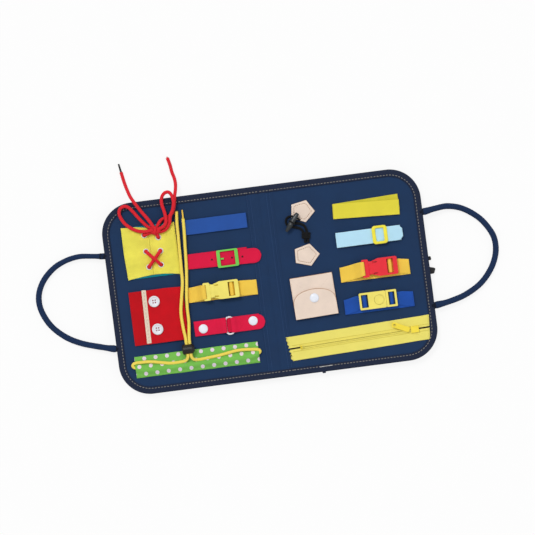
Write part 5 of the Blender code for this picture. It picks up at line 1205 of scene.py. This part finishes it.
def belt():
    body, x0, y0 = "left_leaf", -106.95, 40.12
    strap("belt_base", (x0, y0), 0.0, laid(1.6, 82.0), RED_WEB, body, seed=1.0)
    tail = ((4.0, 14.42), (1.6, 14.4), (0.35, 14.8), (0.35, 15.4), (1.6, 15.78), (4.0, 15.8),
            (30.0, 15.82), (60.0, 15.8), (84.0, 15.8), (100.4, 15.86))
    long = strap("belt_tail", (x0, y0), -1.6, tail, RED_WEB, None, ["red_belt"],
            round_tip(STRAP_WIDTH / 2), step=1.2, seed=2.0)
    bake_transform(long)
    lean = math.radians(-1.6)
    for k, share in enumerate((0.360, 0.513, 0.647, 0.796)):
        x, y = x0 + 94.2 * share * math.cos(lean), y0 + 94.2 * share * math.sin(lean)
        spun(f"belt_hole_{k}", ((1.75, 16.3), (1.75, 16.5), (1.45, 16.58), (1.3, 16.5),
                (1.25, 16.44)), x, y, RED_WEB, body, (), 20)
        # A dark disc in each hole: painted shade.
        disc(f"belt_hole_{k}_dark", x, y, 1.3, 16.3, 16.48, SHADOW, body, 20)
    edge = [(x0 + u * math.cos(lean) - v * math.sin(lean),
            y0 + u * math.sin(lean) + v * math.cos(lean), LAYER_TOP)
            for u, v in [(6.0, 8.6), (90.2, 8.6)] + arc(90.4, 0.0, 8.6, 80, -80,
            12) + [(90.2, -8.6), (6.0, -8.6)]]
    rim = stitches("belt_edge", [edge], RED_WEB, None, 2.6, 1.8, 0.22)
    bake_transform(rim)
    dress("belt_frame", GREEN_PLASTIC)
    dress("belt_prong", GREEN_PLASTIC, 0.2)


def over_bar(start, reach, slot, shift, name, paint, body, y):
    """The strap from the page over a buckle's first bar and down into its slot."""
    side = ((0.0, UPPER_LAYER), (reach * 0.45, 15.9), (reach * 0.62, 16.9), (reach * 0.8, 20.4),
            (reach - 1.6, 23.6),
            (reach, 24.5), (slot - 1.3, 24.5), (slot - 0.3, 23.8), (slot, 22.6), (slot, 18.6))
    narrow = lambda far: 9.2 if far < 7.5 else 9.2 + min(0.8, (far - 7.5) * 0.2)
    bow = lambda u: shift * min(1.0, max(0.0, u / reach)) ** 1.2
    strap(name, (start, y), 0.0, side, paint, body, tip=narrow, step=1.1, bow=bow, seed=start)


def through_slot(end, slot, shift, name, paint, y, half, top=20.6):
    """The strap from its sewn end back under a buckle's end bar and up into its slot."""
    fold = 2.2
    far, near = end - slot, end - slot - fold
    side = ((0.0, UPPER_LAYER), (near * 0.5, 15.85), (near - 5.5, 15.85), (near - 2.4, 16.2),
            (near - 0.6, 18.2),
            (near + 0.6, top), (far, top + 0.5), (far + fold - 0.6, top), (far + fold + 0.2, 18.4),
            (far + fold + 0.2, 16.9))
    narrow = lambda left: half if left < 17.0 else half + min(10.0 - half, (left - 17.0) * 0.2)
    bow = lambda u: -shift * min(1.0, max(0.0, u / near)) ** 1.1
    thing = strap(name, (end, y), 180.0, side, paint, None, (), tip=narrow, step=1.1, bow=bow,
            seed=end)
    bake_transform(thing)


def buckle_fill(name, x, y, paint, hollow_shade, body, socket):
    """The plate between a side release buckle's halves, and the hollows beside its arms, painted
    darker as shade.
    """
    neck = [(x, y - 8.9), (x + 6.7, y - 8.9), (x + 8.2, y - 5.0), (x + 8.9, y), (x + 8.2, y + 5.0),
            (x + 6.7, y + 8.9), (x, y + 8.9)]
    panel(f"{name}_buckle_neck", neck, 18.6, 23.35, paint, body, (), 1.2, 0.5, wave=0.0)
    for sign, label in ((1, "upper"), (-1, "lower")):
        hollow = []
        for k in range(24):
            a = math.tau * k / 24
            hollow.append((x + 9.6 + 2.9 * math.cos(a),
                    y + sign * 7.5 + 0.95 * math.sin(a) * (1.0 + 0.35 * sign * math.cos(a))))
        # Each hollow is a thin dark sheet: painted shade.
        lofted(f"{name}_buckle_hollow_{label}", [flat(hollow, 23.4), flat(hollow, 23.78)], hollow_shade,
               socket)


def left_buckle():
    body, y = "left_leaf", -4.7
    strap("yellow_buckle_base", (-110.99, y), 0.0, laid(0.0, 93.4), ORANGE_WEB, body,
          ["yellow_buckle_webbing"])
    over_bar(-110.99, 21.4, 24.5, 2.0, "yellow_buckle_left_strap", ORANGE_WEB, body, y)
    through_slot(-17.6, -51.9, 2.0, "yellow_buckle_right_strap", ORANGE_WEB,
            y, 9.2)
    buckle_fill("yellow", -81.3, -2.7, PALE_YELLOW, YELLOW_HOLLOW_SHADE, body, "yellow_socket")
    dress("yellow_buckle_male", PALE_YELLOW)
    dress("yellow_buckle_female", PALE_YELLOW)
    stitches("yellow_buckle_seams", cross_rows((-109.4, -107.6, -19.0), y), ORANGE_WEB, body,
            *STRAP_THREAD)


def snap_profile(low):
    return ((6.2, low), (6.2, low + 1.25), (5.9, low + 1.75), (5.2, low + 2.25), (4.1, low + 2.62),
            (2.6, low + 2.85), (1.2, low + 2.9), (0.25, low + 2.9))


def snap_belt():
    body, fold, y = "left_leaf", -61.76, -50.31
    strap("snap_base_strap", (-108.0, y), 0.0, laid(0.0, 88.0), RED_WEB, body,
          ["snap_belt_base"], seed=4.0)
    side = ((5.0, 17.5), (3.6, 17.55), (3.05, 17.9), (3.3, 18.4), (4.4, 18.52), (7.2, 18.45),
            (9.6, 17.5), (11.6, 16.3), (14.0, 15.84), (20.0, 15.8))
    strap("snap_flap_left_strap", (fold, y), 180.0, side + ((46.3, 15.84),), RED_WEB, "snap_left",
          ["snap_flap_left"], step=1.3, seed=6.0)
    strap("snap_flap_right_strap", (fold, -51.1), 0.0, side + ((49.0, 15.84),), RED_WEB,
          "snap_right", ["snap_flap_right"], round_tip(STRAP_WIDTH / 2), step=1.3, seed=7.0)
    snaps = (("left", -96.2, -51.2), ("right", -28.8, -49.0))
    for label, x, cy in snaps:
        spun("snap_cap_" + label, snap_profile(UPPER_LAYER), x, cy, CAP, "snap_" + label)
    for label, x, cy in snaps:
        stud = ((3.4, 14.6), (3.4, 15.1), (2.6, 15.18), (0.3, 15.18))
        spun("snap_stud_" + label, stud, x, cy, WHITE, body)
    dress("snap_belt_ring", WHITE, 0)
    for sign, b, yy in ((-1, "snap_left", y), (1, "snap_right", -51.1)):
        row = cross_rows((fold + sign * 16.0,), yy, 8.8)
        stitches("snap_fold_seam_" + b, row, RED_WEB, b, *STRAP_THREAD)


def button(name, x, y, low):
    """A four hole button with red thread in its holes."""
    profile = ((5.2, low), (7.0, low + 0.3), (7.6, low + 1.0), (7.55, low + 1.7),
            (7.1, low + 2.35), (6.5, low + 2.6),
            (5.8, low + 2.4), (5.2, low + 1.6), (4.6, low + 1.28), (2.2, low + 1.22),
            (0.2, low + 1.22))
    spun(name, profile, x, y, WHITE, "panel_inner", [name.replace("_disc", "")], 44)
    spun(name + "_shank", ((1.5, 15.9), (1.5, low + 0.4), (1.2, low + 0.5)), x, y, RED_CLOTH,
         "panel_inner", (), 12)
    for k, (u, v) in enumerate(((-1, -1), (1, -1), (1, 1), (-1, 1))):
        disc(f"{name}_hole_{k}", x + 1.6 * u, y + 1.6 * v, 0.95, low + 0.8, low + 1.3, THREAD_RED,
             "panel_inner", 14)


def button_panel():
    body = "left_leaf"
    panel("panel_felt_sheet", rect(-185.2, -59.6, -121.2, 6.4), 13.7, 14.7, YELLOW_FELT, body,
          ["panel_felt"], 3.0, wave=0.03)
    motif("panel_motif_star", star(-152.0, -24.0, 19.0, 9.4, 6, 12), 14.66, 14.92, MOTIF_BLUE, body)
    for k, (x, y, r) in enumerate(((-176.0, -6.0, 4.2), (-131.0, -50.0, 4.2), (-174.0, -48.0, 2.8),
            (-130.0, -3.0, 2.8))):
        motif(f"panel_motif_dot_{k}", oval(x, y, r, r, 20), 14.66, 14.92, MOTIF_BLUE, body)
    panel("panel_inner_cloth", rect(-189.7, -62.6, -145.7, 9.4), 15.02, 15.98, RED_DEEP,
          "panel_inner", ["panel_inner_flap"], 3.0, 0.35, wave=0.04, seed=2.0)
    outer = [(-173.0, -62.6), (-116.8, -62.2), (-116.8, 8.6), (-140.0, 9.6), (-172.2, 9.2)]
    panel("panel_outer_cloth", outer, 16.3, 17.3, RED_CLOTH, "panel_outer", ["panel_outer_flap"],
          3.0, 0.35, wave=0.1, seed=4.0, size=26.0)
    for name, y in BUTTON_ROWS:
        for z, side in ((17.32, "top"), (16.18, "under")):
            rim = flat(oval(BUTTON_X, y, 1.3, 8.0, 20), z + (0.06 if side == "top" else 0.04))
            stitches(f"{name}_slit_{side}", [rim], RED_CLOTH, "panel_outer", 1.2, 1.0, 0.34,
                    closed=True)
            # A dark core in each slit: painted shade.
            core = oval(BUTTON_X, y, 0.7, 7.4, 16)
            lofted(f"{name}_slit_{side}_core", [flat(core, z - 0.1), flat(core, z + 0.06)], SHADOW,
                   "panel_outer")
    for name, y in BUTTON_ROWS:
        button(name + "_button_disc", BUTTON_X, y, 17.6)
    ribbon = [(-173.2, -61.4), (-167.2, -61.2), (-165.9, 10.0), (-171.9, 10.2)]
    panel("panel_trim", ribbon, 17.3, 17.72, TRIM, "panel_outer", (), 2.5, 0.2, wave=0.05, seed=1.0)
    stitches("panel_trim_dashes", [[(-170.1, -60.0, 17.8), (-168.9, 9.0, 17.8)]], LEATHER,
            "panel_outer", 4.6, 2.4, 0.5)
    edge = [[(-188.6, -61.0, 16.02), (-188.6, 8.0, 16.02)]]
    stitches("panel_inner_seam", edge, RED_DEEP, "panel_inner", *CLOTH_THREAD)
    stitches("panel_outer_seam", [[(-118.0, -61.0, 17.34), (-118.0, 7.4, 17.34)]], RED_CLOTH,
            "panel_outer", *CLOTH_THREAD)


for build in (lacing, tunnel, blue_strip, belt, left_buckle, snap_belt, button_panel):
    build()
dress("cord_lock_body", LOCK, 0.3)
dress("cord_lock_plunger", LOCK, 0.3)


# Pieces of the right page

def hoop(name, outer, inner, low, high, edge, paint, body, nodes=()):
    """A flat moulded ring between two outlines of equal count."""
    out, into = inward(outer), inward(inner)
    rings = []
    for points, moves, rim in ((outer, out, 1), (inner, into, -1)):
        profile = [(edge, low), (edge * 0.3, low + edge * 0.3), (0.0, low + edge),
                (0.0, high - edge),
                (edge * 0.3, high - edge * 0.3), (edge, high), (edge * 1.9, high + 0.06)]
        for inset, z in profile if rim > 0 else profile[::-1]:
            rings.append([(p[0] + m.x * inset * rim, p[1] + m.y * inset * rim, z) for p,
                    m in zip(points, moves)])
    count, total = len(outer), len(rings)
    verts = [p for ring in rings for p in ring]
    faces = [(r * count + k, r * count + (k + 1) % count,
            (r + 1) % total * count + (k + 1) % count, (r + 1) % total * count + k)
            for r in range(total) for k in range(count)]
    return mesh(name, verts, faces, paint, body, nodes)


def toggle_patches():
    body = "right_leaf"
    for name, x, y, turn, wide, tall in (("upper_patch", 54.7, 88.0, -7.0, 1.05, 0.94),
            ("lower_patch", 53.0, 29.1, -2.0, 1.1, 0.95)):
        corners = [(x + 16.6 * wide * math.cos(math.radians(turn + 72 * k)),
                y + 16.6 * tall * math.sin(math.radians(turn + 72 * k))) for k in range(5)]
        panel(name + "_leather", corners, 13.7, 14.9, LEATHER, body, [name], 2.0, 0.3, seam=3.4,
              dip=0.35, wave=0.04, seed=turn)
        stitches(name + "_seam", [inset_line(corners, 3.4, 14.7, 2.0)], THREAD_BROWN, body, 2.6,
                1.7, 0.34, closed=True)
    dress("toggle", HORN, 0)


def yellow_strip():
    strap("yellow_strip_hooks", (94.7, 82.1), 1.9, laid(1.8, 90.0), YELLOW_LOOP, "right_leaf",
          ["yellow_strip_base"])
    side = ((2.6, 15.05), (0.9, 15.15), (0.4, 15.5), (1.0, 15.92), (4.0, 16.0), (20.0, 16.0),
            (90.0, 16.0))
    strap("yellow_strip_top", (94.7, 82.1), -3.1, side, YELLOW_TAPE, "yellow_flap",
          ["yellow_strip_flap"], step=1.8, seed=2.0, thick=0.8)
    strap("yellow_strip_loops", (94.7, 82.1), -3.1, ((4.0, 15.42), (89.6, 15.42)), YELLOW_LOOP,
          "yellow_flap", width=19.2, thick=0.36)


def slide_strap():
    y = 43.19
    side = ((87.0, 14.3), (50.0, 14.3), (4.0, 14.3), (1.2, 14.5), (0.2, 15.2), (0.1, 16.2),
            (0.9, 17.3), (3.2, 17.6), (40.0, 17.62), (89.4, 17.6))
    strap("sky_strap", (95.28, y), 0.0, side, SKY_WEB, "right_leaf", ["light_blue_strap"],
          cut_tip(STRAP_WIDTH, 4.6), step=1.8, seed=3.0)
    stitches("sky_strap_seam", cross_rows((97.6,), y, 8.8, 18.28), SKY_WEB, "right_leaf", 2.4, 1.6,
            0.26)
    cx, cy, top = 153.8, y + 0.5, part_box("strap_slider")[1][2] * 1000
    hoop("slider_hoop", rounded(cx - 10.2, cy - 12.3, cx + 10.2, cy + 12.3, 4.4, 8),
         rounded(cx - 5.5, cy - 8.9, cx + 5.5, cy + 8.9, 1.5, 8), top - 1.75, top + 0.2, 0.5,
         BRIGHT_YELLOW, "slider", ["strap_slider"])
    for sign, label in ((1, "upper"), (-1, "lower")):
        y0, y1 = sorted((cy + sign * 10.7, cy + sign * 12.0))
        panel(f"slider_side_{label}", rounded(cx - 6.0, y0, cx + 6.0, y1, 0.5, 2), 15.7, top - 1.0,
              BRIGHT_YELLOW, "slider", (), 1.0, 0.2, wave=0.0)
    panel("slider_middle_bar", rounded(cx - 2.0, cy - 11.2, cx + 2.0, cy + 11.2, 0.4, 2), 15.5,
          16.7, BRIGHT_YELLOW, "slider", (), 1.0, 0.2, wave=0.0)


def red_buckle():
    body, y = "right_leaf", -3.69
    strap("red_buckle_base", (94.75, y), 0.0, laid(0.0, 93.4), ORANGE_WEB, body,
          ["red_buckle_webbing"])
    over_bar(94.75, 29.6, 32.7, 4.6, "red_buckle_left_strap", ORANGE_WEB, body, y)
    through_slot(188.15, 162.05, 4.6, "red_buckle_right_strap", ORANGE_WEB, y,
            9.2)
    buckle_fill("red", 132.7, 0.91, RED_PLASTIC, RED_HOLLOW_SHADE, body, "red_socket")
    dress("red_buckle_male", RED_PLASTIC)
    dress("red_buckle_female", RED_PLASTIC)
    stitches("red_buckle_seams", cross_rows((96.4, 98.2, 186.6), y), ORANGE_WEB, body,
             *STRAP_THREAD)


def centre_buckle():
    body, y = "right_leaf", -47.29
    strap("blue_buckle_base", (94.9, y), 0.0, laid(0.0, 93.4), BLUE_WEB, body,
          ["blue_buckle_webbing"])
    side = ((0.0, UPPER_LAYER), (10.0, 15.85), (19.5, 15.85), (22.6, 16.3), (24.2, 18.4),
            (25.4, 20.9), (27.4, 21.4), (29.2, 20.9), (30.3, 18.8), (30.4, 16.9))
    narrow = lambda far: 8.5 if far < 14.0 else 8.5 + min(1.5, (far - 14.0) * 0.25)
    bow = lambda u: 4.6 * min(1.0, max(0.0, u / 22.0)) ** 1.1
    strap("blue_buckle_left_strap", (94.9, y), 0.0, side, BLUE_WEB, body, (), tip=narrow, step=1.1,
          bow=bow)
    through_slot(188.3, 158.6, 4.6, "blue_buckle_right_strap", BLUE_WEB, y,
            8.5, top=20.9)
    for node in ("centre_buckle_housing", "centre_buckle_male", "centre_buckle_button"):
        dress(node, PALE_YELLOW, 0.4 if node != "centre_buckle_button" else 0.0)
    stitches("blue_buckle_seams", cross_rows((96.5, 186.7), y), BLUE_WEB, body, *STRAP_THREAD)


def pouch():
    x, y, turn, body = 56.19, -26.81, 2.0, "right_leaf"
    half, foot = 28.7, -27.8

    def put(points):
        return turned_xy(points, x, y, turn)

    panel("pouch_back", put(rounded(-half, foot, half, -foot, 1.2, 3)), 13.7, 14.9, LEATHER, body,
          ["pouch_pocket"], 3.0, 0.3)
    panel("pouch_red_felt", put(rect(-24.7, -23.8, 24.7, 23.8)), 15.2, 16.2, RED_FELT, body,
          ["pouch_felt"], 3.0, wave=0.04)
    for k, (u, v, r, paint) in enumerate(((-11.0, 9.0, 4.6, MOTIF_GREEN),
            (2.0, 12.0, 4.0, MOTIF_ORANGE), (13.0, 6.0, 4.6, MOTIF_BLUE),
            (-13.0, -9.0, 4.0, MOTIF_ORANGE), (0.0, -4.0, 5.0, MOTIF_GREEN),
            (12.0, -12.0, 4.2, MOTIF_BLUE))):
        motif(f"pouch_motif_{k}", put(oval(u, v, r, r, 20)), 16.16, 16.42, paint, body)
    inner = put(rounded(-half, foot, half, -foot - 0.4, 1.2, 3))
    panel("pouch_inner_leather", inner, 16.5, 17.7, LEATHER, body, (), 3.0, 0.3, wave=0.06,
          seed=6.0)
    roll = []
    for k in range(30):
        u = -half + 2 * half * k / 29
        section = []
        for j in range(13):
            a = math.radians(-100 + 200 * j / 12)
            section.append((27.3 + 1.0 * math.cos(a), 15.7 + 1.95 * math.sin(a)))
        for j in range(12, -1, -1):
            a = math.radians(-100 + 200 * j / 12)
            section.append((26.9 + 0.35 * math.cos(a), 15.7 + 1.0 * math.sin(a)))
        roll.append([(*put([(u, v)])[0], w) for v, w in section])
    lofted("pouch_fold", roll, LEATHER, body)
    crown = []
    for k in range(33):
        a = math.pi * k / 32
        crown.append((28.7 * math.cos(a), foot + 37.6 - 18.8 + 18.8 * math.sin(a) ** 0.8))
    outline = [(-half, foot), (half, foot)] + crown
    panel("pouch_outer_leather", put(outline), 18.0, 19.2, LEATHER, "pouch_flap",
          ["pouch_outer_flap"], 2.4, 0.3, wave=0.08, seed=8.0)
    rim = [(*put([(u * 0.993, v - 0.12)])[0], 18.95) for u, v in crown]
    tube("pouch_flap_raw_edge", rim, 0.36, LEATHER_EDGE, "pouch_flap", spacing=2.0, sides=8)
    cx, cy = put([(0.0, -2.23)])[0]
    spun("pouch_snap_cap", snap_profile(18.6), cx, cy, CAP, "pouch_flap")
    spun("pouch_snap_stud", ((3.4, 17.5), (3.4, 17.88), (2.6, 17.95), (0.3, 17.95)), cx, cy, WHITE,
         body)
    edge = put([(-27.4, 22.0), (-27.4, -26.4), (27.4, -26.4), (27.4, 22.0)])
    stitches("pouch_inner_seam", [flat(edge, 17.72)], LEATHER, body, *CLOTH_THREAD)


def zipper():
    x, y, turn, body = 109.54, -90.15, 1.8, "right_leaf"
    half, near, far = 94.9, 1.05, 16.3

    def put(u, v, z):
        p = turned_xy([(u, v)], x, y, turn)[0]
        return (p[0], p[1], z)

    def slant(v):
        return math.copysign(1.7, v) * (abs(v) - near) / (far - near)

    def left_edge(v):
        cut = 2.6 * abs(((v + 40.0) / 4.9) % 1.0 - 0.5) * 2
        return -half - 1.4 + cut - slant(v)

    def right_edge(v):
        return half + slant(v)

    for sign, name in ((-1, "lower"), (1, "upper")):
        rows = [near + (far - near) * j / 38 for j in range(39)]
        rings = []
        for k in range(49):
            s = k / 48
            ring = []
            for j, d in enumerate(rows):
                v = sign * d
                u = left_edge(v) + (right_edge(v) - left_edge(v)) * s
                ridge = 0.22 * math.exp(-((d - 4.4) / 0.7) ** 2)
                wide = v + 0.35 * sign * waver(u / 30, sign * 3.0, 0.0) * (d / far)
                ring.append(put(u, wide, 14.6 + ridge + 0.14 * ripple(u, v, 12.0, 3.0)))
            for j, d in reversed(list(enumerate(rows))):
                v = sign * d
                u = left_edge(v) + (right_edge(v) - left_edge(v)) * s
                ring.append(put(u, v, 13.75))
            rings.append(ring)
        lofted(f"zip_tape_{name}", rings, ZIP_TAPE, body, ["zipper_tapes"] if sign < 0 else ())
    for sign in (-1, 1):
        label = "lower" if sign < 0 else "upper"
        core = [put(u, sign * 1.25, 15.2) for u in (-77.6, -40.0, 0.0, 40.0, 77.8)]
        tube(f"zip_core_{label}", core, 0.95, ZIP_COIL, body, spacing=6.0, sides=10)
        teeth = []
        for k in range(96):
            u = -77.4 + 1.6 * k + (0.8 if sign > 0 else 0.0)
            teeth.append([put(u, sign * 0.15, 15.94), put(u + 0.15, sign * 1.5, 16.04)])
        stitches(f"zip_teeth_{label}", teeth, ZIP_COIL, body, 1.4, 0.9, 0.28)
        # Thin darker lines beside the chain: painted shade of the tape's grooves.
        line = [put(u, sign * 4.2, 14.72) for u in (-91.0, -40.0, 0.0, 40.0, 93.0)]
        tube(f"zip_groove_shade_{label}", line, 0.3, ZIP_GROOVE_SHADE, body, spacing=8.0, sides=6)
    # A darker line down the chain's middle: painted shade of the joint between the rows.
    line = [put(u, -0.1, 15.94) for u in (-76.0, -40.0, 0.0, 40.0, 76.0)]
    tube("zip_joint_shade", line, 0.3, ZIP_GROOVE_SHADE, body, spacing=8.0, sides=6)
    # Black strips in the gaps at both ends of the chain: painted shadow.
    for label, u0, u1 in (("left", -93.6, -78.0), ("right", 78.0, 94.4)):
        slot = [put(u, v, 0.0)[:2] for u, v in rect(u0, -1.5, u1, 1.5)]
        panel(f"zip_shadow_gap_{label}", slot, 13.5, 13.8, SHADOW, body, (), 3.0, 0.1, wave=0.0)
    stop = [put(u, v, 0.0)[:2] for u, v in rounded(-80.2, -2.6, -77.3, 2.6, 0.6, 3)]
    panel("zip_bottom_stop", stop, 14.7, 16.3, ZIP_PLASTIC, body, (), 1.0, 0.2, wave=0.0)
    dress("zipper_slider", ZIP_PLASTIC, 0.3)
    dress("zipper_pull", ZIP_PLASTIC, 0.25)


def closure():
    strap("closure_strap_left", (-150.0, -7.0), 180.0, ((0.0, 7.35), (20.0, 7.35), (34.0, 7.1),
            (38.6, 6.4), (40.4, 4.8), (40.6, 3.0)), BLACK_WEB, "left_leaf", step=1.6)
    thing = strap("closure_strap_right", (160.0, -7.0), 0.0, ((0.0, 7.35), (12.0, 7.3), (20.0, 6.0),
            (27.0, 3.9), (31.0, 3.3), (34.0, 3.2)), BLACK_WEB, None, step=1.6)
    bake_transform(thing)
    shapes = {
        "block": rounded(-23.2, -12.4, -11.0, 13.4, 1.6, 4),
        "neck": rounded(-13.0, -7.0, -6.4, 8.0, 1.0, 3),
        "upper_arm": [(-9.0, 3.4), (-7.0, 7.4), (-1.0, 8.0), (4.3, 7.7), (5.3, 9.0), (5.1, 12.4),
                (3.6, 13.4), (-1.0, 13.0), (-8.0, 8.6)],
        "lower_arm": [(-9.0, -3.0), (-8.6, -7.4), (-1.0, -10.6), (3.8, -10.9), (5.2, -9.9),
                (7.7, -5.0), (6.6, -3.4), (0.4, -0.8), (-2.0, -1.6)],
    }
    for label, shape in shapes.items():
        nodes = ["closure_male"] if label == "block" else ()
        low = 1.2 if label == "neck" else 0.6
        panel(f"closure_{label}", turned_xy(shape, 215.0, -7.0, 6.0), low, 5.7, BLACK,
              "closure_plug", nodes, 1.2, 0.8, wave=0.0, crown=0.2)
    dress("closure_female", BLACK)


for build in (toggle_patches, yellow_strip, slide_strap, red_buckle, centre_buckle, pouch, zipper,
        closure):
    build()
